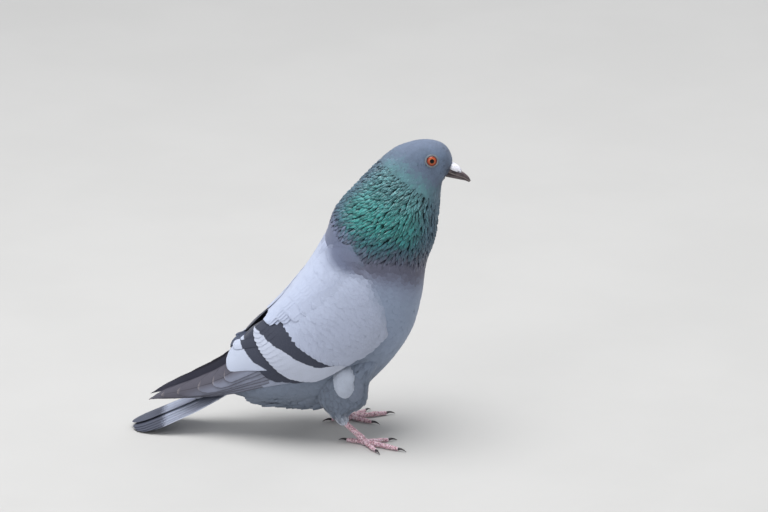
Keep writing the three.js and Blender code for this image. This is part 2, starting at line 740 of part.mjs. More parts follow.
function thigh(side) {
  const top = THIGH[0].z;
  const low = THIGH.at(-1).z;
  const rings = THIGH.map(({ z, fore, back, half }) => {
    const down = rise(z, top, low);
    const shift = legPlaces(side).back * down;
    const y = side * lerp(LEG.hipY, LEG.ankleY, down);
    return Array.from({ length: THIGH_SIDES }, (_, j) => {
      const turn = (j / THIGH_SIDES) * 2 * Math.PI;
      const x = (fore + back) / 2 - shift + ((fore - back) / 2) * Math.cos(turn);
      return vec(x, y + half * Math.sin(turn), z);
    });
  });
  return loft(rings);
}

// The way a toe points, in the floor's plane.
function toeWay(side, turn) {
  const angle = THREE.MathUtils.degToRad(TOE_OUT + turn) * side;
  return vec(Math.cos(angle), Math.sin(angle), 0);
}

function toeStations(side, toe) {
  const start = legPlaces(side).foot.clone().setZ(0);
  const way = toeWay(side, toe.turn);
  const pads = [
    [0, 1.2, 0.9],
    [0.18, 1.05, 0.55],
    [0.36, 1.12, 0.1],
    [0.5, 0.92, 0.35],
    [0.68, 1.08, 0],
    [0.82, 0.85, 0.25],
    [1, 0.78, 0.1],
  ];
  return pads.map(([f, fat, rest]) => ({
    at: start
      .clone()
      .addScaledVector(way, toe.long * f)
      .setZ(toe.radius * fat * 0.9 + rest),
    radius: toe.radius * fat,
  }));
}

function foot(side) {
  const { foot: joint } = legPlaces(side);
  const pad = new THREE.SphereGeometry(FOOT_PAD.radius, 8, 5);
  pad.translate(joint.x, joint.y, FOOT_PAD.z);
  const toes = TOES.map((toe) => tube(toeStations(side, toe), TOE_SIDES));
  const whole = union([solidOf(pad), ...toes]).trimByPlane([0, 0, 1], 0);
  return largest(whole.subtract(shank(side, GAP)));
}

function claw(side, toe) {
  const end = toeStations(side, toe).at(-1);
  const way = toeWay(side, toe.turn);
  const stations = [0, 0.35, 0.7, 1].map((f) => ({
    at: end.at
      .clone()
      .addScaledVector(way, GAP + CLAW.long * f)
      .setZ(lerp(end.at.z, CLAW.tipZ, f) + CLAW.arch * Math.sin(Math.PI * f)),
    radius: lerp(CLAW.radius, CLAW.tip, f),
  }));
  return tube(stations, CLAW.sides);
}

// ---------------------------------------------------------------- finishes
const finish = (color, roughness = 0.8) =>
  new THREE.MeshStandardMaterial({ color, roughness, metalness: 0 });
const FINISH = {
  body: finish(0x9aa2b4),
  neck: finish(0x3f8f7c, 0.55),
  head: finish(0x6f7d8c),
  wing: finish(0xb9b9c6),
  tail: finish(0x6e7383),
  eye: finish(0xc8552a, 0.15),
  bill: finish(0x5b5350, 0.5),
  cere: finish(0xe6e4ea, 0.7),
  leg: finish(0xc97f8b, 0.6),
  claw: finish(0x3a3236, 0.4),
};

// ---------------------------------------------------------------- assembly
const bird = new THREE.Group();
bird.name = "rock_pigeon";

function addNode(name, solid, material) {
  const { numProp, vertProperties, triVerts } = solid.getMesh();
  const points = [];
  for (let i = 0; i < vertProperties.length; i += numProp) {
    points.push(vec(vertProperties[i], vertProperties[i + 1], vertProperties[i + 2]));
  }
  const faces = [];
  for (let i = 0; i < triVerts.length; i += 3) faces.push([...triVerts.subarray(i, i + 3)]);
  const geometry = geometryOf(points, faces).toNonIndexed();
  geometry.computeVertexNormals();
  const mesh = new THREE.Mesh(geometry, material);
  mesh.name = name;
  bird.add(mesh);
}

const whole = bodyLoft(0, BODY.length - 1, 0, 40);
const clearOfBody = bodyLoft(-0.03, NECK_FROM + 1, SKIN_CLEAR, 20);
const neckPlane = bodyPlane(NECK_FROM);
const headPlane = bodyPlane(HEAD_FROM);
const torso = behind(whole, neckPlane);
const neck = behind(ahead(whole, neckPlane), headPlane);
let head = ahead(whole, headPlane);
for (const [, side] of SIDES) head = head.add(lidRing(side));
const nostrils = union(SIDES.map(([, side]) => lens(NOSTRIL, side)));
for (const [, side] of SIDES) {
  head = head.subtract(eyeball(side, GAP));
  head = head.subtract(lens(GAPE, side));
  head = head.subtract(lens(CERE_LOBE, side, GAP));
}

addNode("torso", torso, FINISH.body);
addNode("neck", neck, FINISH.neck);

const billRootPlane = bodyPlane(BODY.length - 1);
const upperBill = ahead(billHalf(true), billRootPlane).subtract(nostrils);
const lowerBill = ahead(billHalf(false).translate([0, 0, -GAP]), billRootPlane);
const cere = union(SIDES.map(([, side]) => lens(CERE_LOBE, side)))
  .subtract(billHalf(true).translate([0, 0, GAP]))
  .subtract(nostrils);
addNode("head", largest(head), FINISH.head);
addNode("bill_upper", largest(upperBill), FINISH.bill);
addNode("bill_lower", largest(lowerBill), FINISH.bill);
addNode("cere", largest(cere), FINISH.cere);
addNode("tail", largest(tail().subtract(clearOfBody)), FINISH.tail);

for (const [name, side] of SIDES) {
  addNode(`eye_${name}`, eyeball(side, 0), FINISH.eye);
  const wing = union([wingCore(side, 0), ...wingFeathers(side)]).subtract(clearOfBody);
  addNode(`wing_${name}`, largest(wing), FINISH.wing);
  const plume = thigh(side).subtract(clearOfBody).subtract(shank(side, GAP));
  addNode(`thigh_${name}`, largest(plume.subtract(wingCore(side, GAP))), FINISH.body);
  addNode(`shank_${name}`, shank(side, 0), FINISH.leg);
  addNode(`foot_${name}`, foot(side), FINISH.leg);
  for (const toe of TOES) addNode(`claw_${name}_${toe.name}`, claw(side, toe), FINISH.claw);
}

// The origin is the middle of the footprint; the floor is already at z = 0.
const bounds = new THREE.Box3().setFromObject(bird);
bird.position.set(-(bounds.min.x + bounds.max.x) / 2, -(bounds.min.y + bounds.max.y) / 2, 0);

export default bird;
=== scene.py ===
"""Looks of a standing rock pigeon, life size: a skin, feathers laid one by one along the lie of the
coat, eyes, bill and scaly feet. Tables are in millimetres, with x = 0 midway between the feet."""
import json
import math

import bpy
import numpy as np
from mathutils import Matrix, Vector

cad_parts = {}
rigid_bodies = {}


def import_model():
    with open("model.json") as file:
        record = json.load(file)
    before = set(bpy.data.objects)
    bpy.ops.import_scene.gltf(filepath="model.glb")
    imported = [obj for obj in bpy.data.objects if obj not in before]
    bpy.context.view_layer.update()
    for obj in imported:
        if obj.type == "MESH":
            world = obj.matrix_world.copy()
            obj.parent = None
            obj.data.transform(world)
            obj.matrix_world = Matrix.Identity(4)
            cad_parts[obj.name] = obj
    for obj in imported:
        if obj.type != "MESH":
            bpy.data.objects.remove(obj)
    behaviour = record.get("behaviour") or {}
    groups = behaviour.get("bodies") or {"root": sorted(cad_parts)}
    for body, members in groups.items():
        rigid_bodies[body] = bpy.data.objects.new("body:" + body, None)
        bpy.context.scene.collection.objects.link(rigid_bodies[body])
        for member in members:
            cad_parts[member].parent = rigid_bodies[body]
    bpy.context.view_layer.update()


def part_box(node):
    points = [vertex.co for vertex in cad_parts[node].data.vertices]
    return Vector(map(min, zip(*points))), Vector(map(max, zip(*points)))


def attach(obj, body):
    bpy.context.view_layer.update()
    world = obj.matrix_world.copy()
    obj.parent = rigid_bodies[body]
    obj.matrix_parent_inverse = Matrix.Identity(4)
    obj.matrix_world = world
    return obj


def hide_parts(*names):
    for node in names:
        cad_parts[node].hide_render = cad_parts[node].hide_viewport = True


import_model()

MM = 0.001
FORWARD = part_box("torso")[0].x * 1000 + 97  # from the feet's middle to the frame's origin
rng = np.random.default_rng(27)
SIDES = {"left": 1, "right": -1}


# ------------------------------------------------------------------ the bird's measures, in millimetres
# Body sections from the tail root to the bill base: back x, z, belly x, z and half width.
BODY = np.array([
    (-97, 48, -96, 31.5, 14), (-82, 70, -76, 22.5, 23), (-66, 94, -48, 21, 31),
    (-50, 118.5, -16, 24, 36), (-37, 138.5, 18, 51, 38), (-28, 155, 41, 82.5, 39),
    (-23, 167, 50, 111.5, 38), (-18.5, 181, 54, 139.5, 34.5), (-10.5, 192.5, 61, 162.5, 30),
    (1, 205.5, 63.5, 182.5, 25.5), (14.5, 221, 65, 197.5, 20.5), (29, 234, 65.8, 204.5, 16.5),
    (43, 240, 66.3, 207, 14), (54, 241.7, 66.8, 208.5, 12.7), (63.5, 240.3, 67.4, 209.5, 11.4),
    (70, 236, 68.2, 210.5, 9.6), (73.6, 229, 69.3, 211.7, 7.4), (74.6, 223, 71, 213, 5),
])
BODY_SQUARE = 2.15  # 2 would make every section an ellipse; more is squarer
SECTIONS = np.arange(len(BODY))

# The folded wing's sheet: distance from the shoulder, upper edge, lower edge, and how far it swells.
WING = np.array([
    (-8, 2, 29, 159.5, 33, 33, 94.5, 3), (0, -8, 26, 158.5, 28, 35, 88.5, 6),
    (25, -26, 20, 149.5, 13, 37, 74.5, 9.5), (46, -43, 15, 129.5, -6, 36.5, 65.5, 11),
    (73, -62, 12.5, 107.5, -30, 34.5, 54.5, 10.5), (99, -80, 12, 86.5, -57, 31, 47, 7.5),
    (113, -88.5, 12.5, 75, -73, 28.5, 41.5, 5.5), (135, -101, 13.5, 60.5, -97, 24.5, 34.5, 3),
    (166, -126, 12, 46.3, -129, 17.5, 29, 1.5), (192, -152, 8.5, 34.3, -152, 12, 26, 0.5),
    (206, -165, 6, 26.2, -165, 9.5, 24.6, 0.2),
])
PAD = {"deep": 12, "thin": 0.8, "thin_from": 66, "thin_to": 100, "end": 112, "under": 1.2}
PRIMARIES = {
    "tips": [137, 148, 161, 179, 193, 204],
    "low_edges": [0.66, 0.72, 0.8, 0.86, 0.92, 0.985],
    "root": 84, "root_high": -3.4, "root_pitch": 0.45, "high": 2.1, "pitch": 0.9, "level_from": 130,
}
TAIL = {
    "root_x": -97, "root_z": 40.6, "tip_x": -175.7, "tip_z": 4.4, "arch": 0.0105, "pitch": 0.9,
    "rest": 0.05,
}
RECTRICES = [  # reach, where the root and the tip lie, half width, from the middle outwards
    (1, 1.5, 2.5, 9), (0.995, 4.5, 8, 7.5), (0.985, 6, 10.5, 7.5),
    (0.965, 7.5, 13, 7.5), (0.93, 9, 15, 7.3), (0.86, 10.5, 16.6, 6.6),
]
EYE = {"at": (59.4, 12.4, 228.7), "faces": (0.177, 1, 0.207), "ball": 5.4, "sink": 3.7}
LID = {"radius": 4.6, "thick": 0.7, "beads": 26}
BILL = np.array([  # culmen x, z, gape x, z, keel x, z and half width
    (74.4, 222.6, 71.6, 217.4, 70.7, 213.2, 4.8), (77.8, 220.4, 76, 215.2, 75.4, 211.9, 4),
    (81.3, 217.7, 80, 213.7, 79.6, 210.9, 3.2), (84.6, 215.2, 83.6, 212.3, 83.4, 210.1, 2.4),
    (87.2, 212.4, 86.2, 210.7, 86, 209.2, 1.5), (88.6, 209.3, 88, 209, 87.2, 208.6, 0.5),
])
CERE = {"size": (5.9, 2.8, 3.1), "at": (76.2, 1.8, 219.2), "taper": 0.38, "tilt": 0.46}
NOSTRIL = {"size": (2.3, 1.1, 0.6), "at": (79.3, 3.0, 217.7)}
LEG = {"y": 28.5, "ankle_y": 26.5, "hip_y": 21, "ankle": (-14.4, 23.3), "foot": (8.2, 3.6)}
LEFT_BACK = 16.4  # how far the left foot stands behind the right one
THIGH = np.array([  # height, front, rear and half width, from the body down
    (79, 18, -18, 8), (66, 20, -24, 13), (54, 13.5, -28, 13), (44.5, 11, -29, 12),
    (37, 10.2, -28.5, 10.5), (31.7, 8, -26, 9), (27.5, 1.8, -22.3, 7), (23.4, -4, -18.4, 5),
    (18.8, -4.8, -13.6, 3.7),
])
THIGH_HEM = 15  # no feather of the thigh hangs lower
# Toes: turn from the middle toe in degrees, length and radius.
TOES = {"hind": (176, 15, 1.8), "inner": (-50, 20, 1.8), "middle": (0, 30.5, 2), "outer": (34, 20.5, 1.8)}
TOE_OUT = 25  # degrees by which each foot turns outwards
CLAW = {"long": 7.2, "sunk": 0.8, "radius": 1.2, "tip": 0.18, "tip_z": 0.4, "arch": 1}
FOOT_PAD = {"radius": 3.1, "high": 2.5}
SCUTES = {"shank": 13, "toe_long": 1.9}  # how many down the shank, how long on a toe
NO_BAR = -9.0  # a place far from any dark bar


# ------------------------------------------------------------------ small maths
def lerp(a, b, f):
    return a + (b - a) * f


def rise(v, start, end):
    """Goes smoothly from 0 at start to 1 at end."""
    f = np.clip((np.asarray(v, float) - start) / (end - start), 0, 1)
    return f * f * (3 - 2 * f)


def through(knots, rows, at):
    """A smooth curve through rows of numbers; knots says where each row lies, and it runs on straight."""
    knots, at = np.asarray(knots, float), np.asarray(at, float)
    count = len(knots)
    before = np.clip(np.arange(count) - 1, 0, count - 1)
    after = np.clip(np.arange(count) + 1, 0, count - 1)
    slopes = (rows[after] - rows[before]) / (knots[after] - knots[before])[:, None]
    i = np.clip(np.searchsorted(knots, at) - 1, 0, count - 2)
    span = (knots[i + 1] - knots[i])[..., None]
    whole = (at - knots[i])[..., None] / span
    f = np.clip(whole, 0, 1)
    curve = (2 * f**3 - 3 * f**2 + 1) * rows[i] + (3 * f**2 - 2 * f**3) * rows[i + 1]
    curve = curve + ((f**3 - 2 * f**2 + f) * slopes[i] + (f**3 - f**2) * slopes[i + 1]) * span
    return curve + np.minimum(whole, 0) * slopes[i] * span + np.maximum(whole - 1, 0) * slopes[i + 1] * span


def unit(v):
    return v / np.maximum(np.linalg.norm(v, axis=-1, keepdims=True), 1e-9)


def body_point(at, turn, grow=0.0):
    """A point of the body: at counts sections, turn goes round from the back, positive to the left."""
    back_x, back_z, belly_x, belly_z, half = np.moveaxis(through(SECTIONS, BODY, at), -1, 0)
    tall = np.hypot(back_x - belly_x, back_z - belly_z) / 2
    swell = (tall + grow) / tall
    power = 2 / BODY_SQUARE
    c = np.sign(np.cos(turn)) * np.abs(np.cos(turn)) ** power
    s = np.sign(np.sin(turn)) * np.abs(np.sin(turn)) ** power
    return np.stack([
        (back_x + belly_x) / 2 + (back_x - belly_x) / 2 * swell * c,
        (half + grow) * s,
        (back_z + belly_z) / 2 + (back_z - belly_z) / 2 * swell * c,
    ], -1)


def section_through(p, steps):
    """The body section that each point lies in, found by halving, and that section's row of BODY."""
    low, high = np.zeros(p.shape[:-1]), np.full(p.shape[:-1], len(BODY) - 1.0)
    for _ in range(steps):
        middle = (low + high) / 2
        row = through(SECTIONS, BODY, middle)
        across = row[..., :2] - row[..., 2:4]
        ahead = across[..., 1] * (p[..., 0] - row[..., 0]) > across[..., 0] * (p[..., 2] - row[..., 1])
        low, high = np.where(ahead, middle, low), np.where(ahead, high, middle)
    return low, through(SECTIONS, BODY, low)


def clear_of(p, cover):
    """Points moved straight out from the body's axis as far as it takes to clear it by cover."""
    low, row = section_through(p, 22)
    across = row[..., :2] - row[..., 2:4]
    tall = np.hypot(across[..., 0], across[..., 1]) / 2
    middle = (row[..., :2] + row[..., 2:4]) / 2
    centre = np.stack([middle[..., 0], np.zeros_like(tall), middle[..., 1]], -1)
    away = p - centre
    up = (away[..., 0] * across[..., 0] + away[..., 2] * across[..., 1]) / (2 * tall)
    tall_share = np.abs(up / (tall + cover)) ** BODY_SQUARE
    wide_share = np.abs(p[..., 1] / (row[..., 4] + cover)) ** BODY_SQUARE
    reach = (tall_share + wide_share) ** (1 / BODY_SQUARE)
    inside = (low > 0) & (reach < 1)
    return np.where(inside[..., None], centre + away / np.maximum(reach, 0.05)[..., None], p)


def where_on_body(p):
    """Section and turn of each point, and how far out it is, 1 being on the skin."""
    low, row = section_through(p, 20)
    across = row[:, :2] - row[:, 2:4]
    tall = np.hypot(across[:, 0], across[:, 1]) / 2
    away = p[:, [0, 2]] - (row[:, :2] + row[:, 2:4]) / 2
    up = (away[:, 0] * across[:, 0] + away[:, 1] * across[:, 1]) / (2 * tall**2)
    aside = p[:, 1] / row[:, 4]
    return low, np.arctan2(aside, up), np.hypot(up, aside)


def wing_chord(s):
    """How wide the folded wing is at distance s from the shoulder."""
    row = through(WING[:, 0], WING[:, 1:], s)
    return np.linalg.norm(row[..., 3:6] - row[..., 0:3], axis=-1)


def wing_point(s, t):
    """A point of the left wing: s from the shoulder to the tip, t from upper edge to lower edge."""
    row = through(WING[:, 0], WING[:, 1:], s)
    across = row[..., 3:6] - row[..., 0:3]
    flat = np.hypot(across[..., 0], across[..., 2])
    level = across * (1, 0, 1) / flat[..., None]
    out = unit(np.stack([0 * flat, flat, 0 * flat], -1) - level * across[..., 1:2])
    p = row[..., 0:3] + across * t[..., None] + out * (row[..., 6] * 4 * t * (1 - t))[..., None]
    cover = 1.3 + 2.3 * rise(s, 20, 70) + rise(s, -8, 18) * (
        2 * np.sqrt(np.clip(4 * t * (1 - t), 0, 1)) + 1.8 * rise(t, 0.4, 1))
    return clear_of(p, cover)


def thigh_point(down, turn, side):
    """A point of the feathered thigh: down from 0 at the body to 1 at the shank."""
    z, fore, back, half = np.moveaxis(through(np.linspace(0, 1, len(THIGH)), THIGH, down), -1, 0)
    slide = rise(z, THIGH[0, 0], THIGH[-1, 0])
    y = side * lerp(LEG["hip_y"], LEG["ankle_y"], slide)
    middle = (fore + back) / 2 - (LEFT_BACK if side > 0 else 0) * slide
    return np.stack([middle + (fore - back) / 2 * np.cos(turn), y + half * np.sin(turn), z], -1)


def tail_point(f, y, lift):
    """A point of the tail's back: f from root to tip, y across, lift off the surface."""
    lean = math.atan2(TAIL["root_z"] - TAIL["tip_z"], TAIL["root_x"] - TAIL["tip_x"])
    turn = 2 * TAIL["arch"] * y
    return np.stack([
        lerp(TAIL["root_x"], TAIL["tip_x"], f) - lift * math.sin(lean),
        y + lift * np.sin(turn),
        lerp(TAIL["root_z"], TAIL["tip_z"], f) - TAIL["arch"] * y * y + lift * math.cos(lean),
    ], -1)


class Sheet:
    """A curved surface read off a fine table: a point for (a, b), raised along the surface's normal."""

    def __init__(self, point, a_range, b_range, counts, outwards):
        self.low = np.array([a_range[0], b_range[0]], float)
        self.step = (np.array([a_range[1], b_range[1]]) - self.low) / (np.array(counts) - 1)
        a, b = np.meshgrid(np.linspace(*a_range, counts[0]), np.linspace(*b_range, counts[1]), indexing="ij")
        self.points = point(a, b)
        da, db = np.gradient(self.points, axis=0), np.gradient(self.points, axis=1)
        self.normals = unit(np.cross(da, db)) * outwards
        self.counts = np.array(counts)

    def read(self, table, a, b):
        i = np.clip((a - self.low[0]) / self.step[0], 0, self.counts[0] - 1.001)
        j = np.clip((b - self.low[1]) / self.step[1], 0, self.counts[1] - 1.001)
        i0, j0 = i.astype(int), j.astype(int)
        fi, fj = (i - i0)[..., None], (j - j0)[..., None]
        return ((1 - fi) * ((1 - fj) * table[i0, j0] + fj * table[i0, j0 + 1])
                + fi * ((1 - fj) * table[i0 + 1, j0] + fj * table[i0 + 1, j0 + 1]))

    def __call__(self, a, b, lift):
        return self.read(self.points, a, b) + self.read(self.normals, a, b) * np.asarray(lift)[..., None]


body_sheet = Sheet(body_point, (-0.6, 17.3), (-4.2, 4.2), (716, 560), 1)
wing_sheet = Sheet(wing_point, (-26, 216), (-0.4, 1.4), (243, 181), -1)


def thigh_sheet(side):
    return Sheet(lambda down, turn: thigh_point(down, turn, side), (-0.05, 1.08), (-4.2, 4.2), (120, 220), 1)


thigh_sheets = {side: thigh_sheet(side) for side in SIDES.values()}


# ------------------------------------------------------------------ modelling helpers
def clear_selection():
    for thing in bpy.context.scene.objects:
        thing.select_set(False)


def take(thing):
    clear_selection()
    thing.select_set(True)
    bpy.context.view_layer.objects.active = thing


def barrel(name, sides, rings, fill="TRIFAN"):
    """An upright drum of the given sides, cut into rings, ready to be moulded."""
    clear_selection()
    bpy.ops.mesh.primitive_cylinder_add(vertices=sides, radius=1, depth=1, end_fill_type=fill)
    thing = bpy.context.object
    thing.name = name
    bpy.ops.object.mode_set(mode="EDIT")
    bpy.ops.mesh.select_all(action="DESELECT")
    bpy.ops.object.mode_set(mode="OBJECT")
    for edge in thing.data.edges:
        low, high = (thing.data.vertices[v].co.z for v in edge.vertices)
        edge.select = abs(low - high) > 0.5
    bpy.ops.object.mode_set(mode="EDIT")
    bpy.ops.mesh.select_mode(type="EDGE")
    bpy.ops.mesh.subdivide(number_cuts=rings - 2)
    bpy.ops.object.mode_set(mode="OBJECT")
    return thing


def corners(thing):
    co = np.zeros(len(thing.data.vertices) * 3)
    thing.data.vertices.foreach_get("co", co)
    return co.reshape(-1, 3)


def put_corners(thing, points):
    thing.data.vertices.foreach_set("co", np.ascontiguousarray(points, dtype=float).ravel())
    thing.data.update()


def in_frame(points):
    return (np.asarray(points) + (FORWARD, 0, 0)) * MM


def own_places(thing):
    """A piece's corners in the tables' millimetres."""
    return corners(thing) / MM - (FORWARD, 0, 0)


def keep_above_floor(thing):
    co = corners(thing)
    co[:, 2] = np.maximum(co[:, 2], 0)
    put_corners(thing, co)


def on_rim(reach):
    """Whether a drum's corner lies on its rim, and not on its axis."""
    return reach > 0.5


def mould(thing, place):
    """Moves every corner of a drum to place(turn, height, reach): height 0 to 1, reach 0 on its axis."""
    co = corners(thing)
    turn = np.arctan2(co[:, 1], co[:, 0])
    put_corners(thing, in_frame(place(turn, co[:, 2] + 0.5, np.hypot(co[:, 0], co[:, 1]))))
    face_out(thing)


def face_out(thing):
    take(thing)
    bpy.ops.object.mode_set(mode="EDIT")
    bpy.ops.mesh.select_all(action="SELECT")
    bpy.ops.mesh.normals_make_consistent(inside=False)
    bpy.ops.object.mode_set(mode="OBJECT")


def finish_with(thing, kind, **settings):
    """Adds a modifier and applies it."""
    take(thing)
    modifier = thing.modifiers.new(kind.title(), kind)
    for key, value in settings.items():
        setattr(modifier, key, value)
    bpy.ops.object.modifier_apply(modifier=modifier.name)


def smooth(thing, degrees=None):
    take(thing)
    if degrees is None:
        bpy.ops.object.shade_smooth()
    else:
        bpy.ops.object.shade_smooth_by_angle(angle=math.radians(degrees))


def join(things, name):
    clear_selection()
    for thing in things:
        thing.select_set(True)
    bpy.context.view_layer.objects.active = things[0]
    bpy.ops.object.join()
    things[0].name = name
    return things[0]


def dress(thing, material, stands_for=()):
    """Gives a finished piece its material, its body and the solids it stands for."""
    thing.data.name = thing.name
    thing.data.materials.clear()
    thing.data.materials.append(material)
    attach(thing, "root")
    if stands_for:
        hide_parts(*stands_for)
    return thing


def put_attribute(thing, name, kind, values):
    found = thing.data.attributes.get(name) or thing.data.attributes.new(name, kind, "POINT")
    if kind == "FLOAT_COLOR":
        values = np.concatenate([values, np.ones((len(values), 1))], 1)
        found.data.foreach_set("color", np.ascontiguousarray(values, dtype=np.float32).ravel())
    else:
        found.data.foreach_set("value", np.ascontiguousarray(values, dtype=np.float32).ravel())


# ------------------------------------------------------------------ feathers
class Vane:
    """One feather modelled as a flat drum, kept as numbers: f from root to tip, c across from edge to
    edge, h +1 on its face and -1 on its back, and its triangles."""

    def __init__(self, sides, stops):
        blank = barrel("blank_vane", sides, len(stops), "NGON")
        bpy.ops.object.mode_set(mode="EDIT")
        bpy.ops.mesh.select_all(action="SELECT")
        bpy.ops.mesh.quads_convert_to_tris(quad_method="BEAUTY", ngon_method="BEAUTY")
        bpy.ops.object.mode_set(mode="OBJECT")
        co = corners(blank)
        ring = np.rint((co[:, 2] + 0.5) * (len(stops) - 1)).astype(int)
        self.f = np.array(stops, float)[ring]
        self.c, self.h = -co[:, 0], co[:, 1]
        faces = np.zeros(len(blank.data.polygons) * 3, int)
        blank.data.polygons.foreach_get("vertices", faces)
        self.faces = faces.reshape(-1, 3)
        bpy.data.objects.remove(blank)

    def spread(self):
        """f, c and h as rows, to set against columns with a line for each feather."""
        return self.f[None], self.c[None], self.h[None]


def round_tip(f, start):
    return np.sqrt(1 - 0.97 * np.clip((f - start) / (1 - start), 0, 1) ** 2)


def rounded(f):
    return (0.4 + 0.6 * rise(f, 0, 0.45)) * round_tip(f, 0.62)


def blunt(f):
    return (0.5 + 0.5 * rise(f, 0, 0.4)) * round_tip(f, 0.82)


def pointed(f):
    return (0.45 + 0.55 * rise(f, 0, 0.4)) * (1 - 0.8 * np.clip((f - 0.5) / 0.5, 0, 1) ** 1.6)


def flow_over(surface, flow, root, long, half, lean, vane, outline, lift):
    """Lays feathers on a surface from their roots (a, b), along flow times the way a runs and turned by
    lean. lift gives the height of each corner."""
    a, b = root[:, 0], root[:, 1]
    still = np.zeros_like(a)
    ea, eb = surface.step
    pa = (surface(a + ea, b, still) - surface(a - ea, b, still)) / (2 * ea)
    pb = (surface(a, b + eb, still) - surface(a, b - eb, still)) / (2 * eb)
    normal = surface.read(surface.normals, a, b)
    along = unit(pa) * flow
    across = np.cross(normal, along)
    cos, sin = np.cos(lean)[:, None], np.sin(lean)[:, None]
    along, across = along * cos + across * sin, across * cos - along * sin
    f, c = vane.f[None, :], vane.c[None, :]
    way = (along[:, None, :] * (long[:, None] * f)[..., None]
           + across[:, None, :] * (half[:, None] * c * outline(f))[..., None])
    aa, bb, ab = (pa * pa).sum(-1)[:, None], (pb * pb).sum(-1)[:, None], (pa * pb).sum(-1)[:, None]
    wa, wb = (way * pa[:, None, :]).sum(-1), (way * pb[:, None, :]).sum(-1)
    flat = aa * bb - ab * ab
    a, b = a[:, None] + (wa * bb - wb * ab) / flat, b[:, None] + (wb * aa - wa * ab) / flat
    return surface(a, b, lift(a, b) if callable(lift) else lift), surface.read(surface.normals, a, b)


def scatter(points, spacing):
    """Picks from the points, in their order, those that keep their spacing from the ones before."""
    keys = np.floor(points / spacing.max()).astype(int)
    around = [(x, y, z) for x in (-1, 0, 1) for y in (-1, 0, 1) for z in (-1, 0, 1)]
    kept, near = [], {}
    candidates = zip(keys.tolist(), points.tolist(), (spacing**2).tolist())
    for k, ((x, y, z), (px, py, pz), gap) in enumerate(candidates):
        for qx, qy, qz in near.get((x, y, z), ()):
            if (px - qx) ** 2 + (py - qy) ** 2 + (pz - qz) ** 2 < gap:
                break
        else:
            kept.append(k)
            for dx, dy, dz in around:
                near.setdefault((x + dx, y + dy, z + dz), []).append((px, py, pz))
    return np.array(kept)


def soften(mesh, normals, amount):
    """Turns the shading of the feathers' outer faces towards the body's own, so that a dense coat
    shades as one soft form."""
    own = np.zeros(len(mesh.loops) * 3, np.float32)
    mesh.corner_normals.foreach_get("vector", own)
    own = own.reshape(-1, 3)
    outer = (own * normals).sum(-1, keepdims=True) > 0.15
    mesh.normals_split_custom_set(np.where(outer, unit(lerp(own, normals, amount[:, None])), own))


def plumage(name, vane, points, paint, patch, bar=None, normals=None, softness=0.0):
    """One mesh of many feathers. points is (feathers, corners, 3), paint (feathers, 3) or one for each
    corner, patch (feathers, 4): where on the OFBake map each feather lies, and how large."""
    count, size = points.shape[:2]
    faces = (vane.faces[None] + (np.arange(count) * size)[:, None, None]).reshape(-1, 3)
    mesh = bpy.data.meshes.new(name)
    mesh.vertices.add(count * size)
    mesh.vertices.foreach_set("co", in_frame(points).ravel())
    mesh.loops.add(len(faces) * 3)
    mesh.loops.foreach_set("vertex_index", faces.ravel())
    mesh.polygons.add(len(faces))
    mesh.polygons.foreach_set("loop_start", np.arange(len(faces)) * 3)
    mesh.update(calc_edges=True)
    thing = bpy.data.objects.new(name, mesh)
    bpy.context.scene.collection.objects.link(thing)
    if paint.ndim == 2:
        paint = np.repeat(paint[:, None, :], size, 1)
    put_attribute(thing, "plumage", "FLOAT_COLOR", paint.reshape(-1, 3))
    put_attribute(thing, "bar", "FLOAT", np.full(count * size, NO_BAR) if bar is None else bar)
    put_attribute(thing, "tone", "FLOAT", np.repeat(rng.random(count), size))
    corner = faces.ravel()
    across, along = (vane.c + 1) / 2, vane.f
    spots = np.stack([np.tile(across, count), np.tile(along, count)], 1)
    shade = mesh.uv_layers.new(name="vane")
    shade.data.foreach_set("uv", spots[corner].ravel())
    left, low, wide, tall = (patch[:, None, i] for i in range(4))
    place = np.stack([left + wide * across, low + tall * along], -1)
    bake = mesh.uv_layers.new(name="OFBake")
    bake.data.foreach_set("uv", place.reshape(-1, 2)[corner].ravel())
    take(thing)
    bpy.ops.object.shade_smooth_by_angle(angle=math.radians(60))
    if normals is not None:
        softness = np.broadcast_to(softness, points.shape[:2]).ravel()
        soften(mesh, normals.reshape(-1, 3)[corner], softness[corner])
    return thing


BAKE_FROM, BAKE_SPAN, PATCH = 0.01, 0.975, 0.003
CELL = {"left": 0.08, "low": 0.06, "wide": 0.84, "tall": 0.88}  # the part of its cell that a feather fills
CELLS_WIDE = 2.2  # how many times more columns than rows


def root_patches(a, b):
    """Small patches on the OFBake map at the roots' places, a and b running from 0 to 1."""
    size = np.full_like(a, PATCH)
    return np.stack([BAKE_FROM + BAKE_SPAN * b - size / 2, BAKE_FROM + BAKE_SPAN * a, size, size], -1)


def cells(count):
    """A cell of the map for each large feather, side by side."""
    columns = math.ceil(math.sqrt(count * CELLS_WIDE))
    rows = math.ceil(count / columns)
    k = np.arange(count)
    wide, tall = np.full(count, CELL["wide"] / columns), np.full(count, CELL["tall"] / rows)
    left, low = (k % columns + CELL["left"]) / columns, (k // columns + CELL["low"]) / rows
    return np.stack([left, low, wide, tall], -1)


# ------------------------------------------------------------------ colours
def colour(red, green, blue):
    v = np.array([red, green, blue], float) / 255
    return np.where(v <= 0.04045, v / 12.92, ((v + 0.055) / 1.055) ** 2.4)


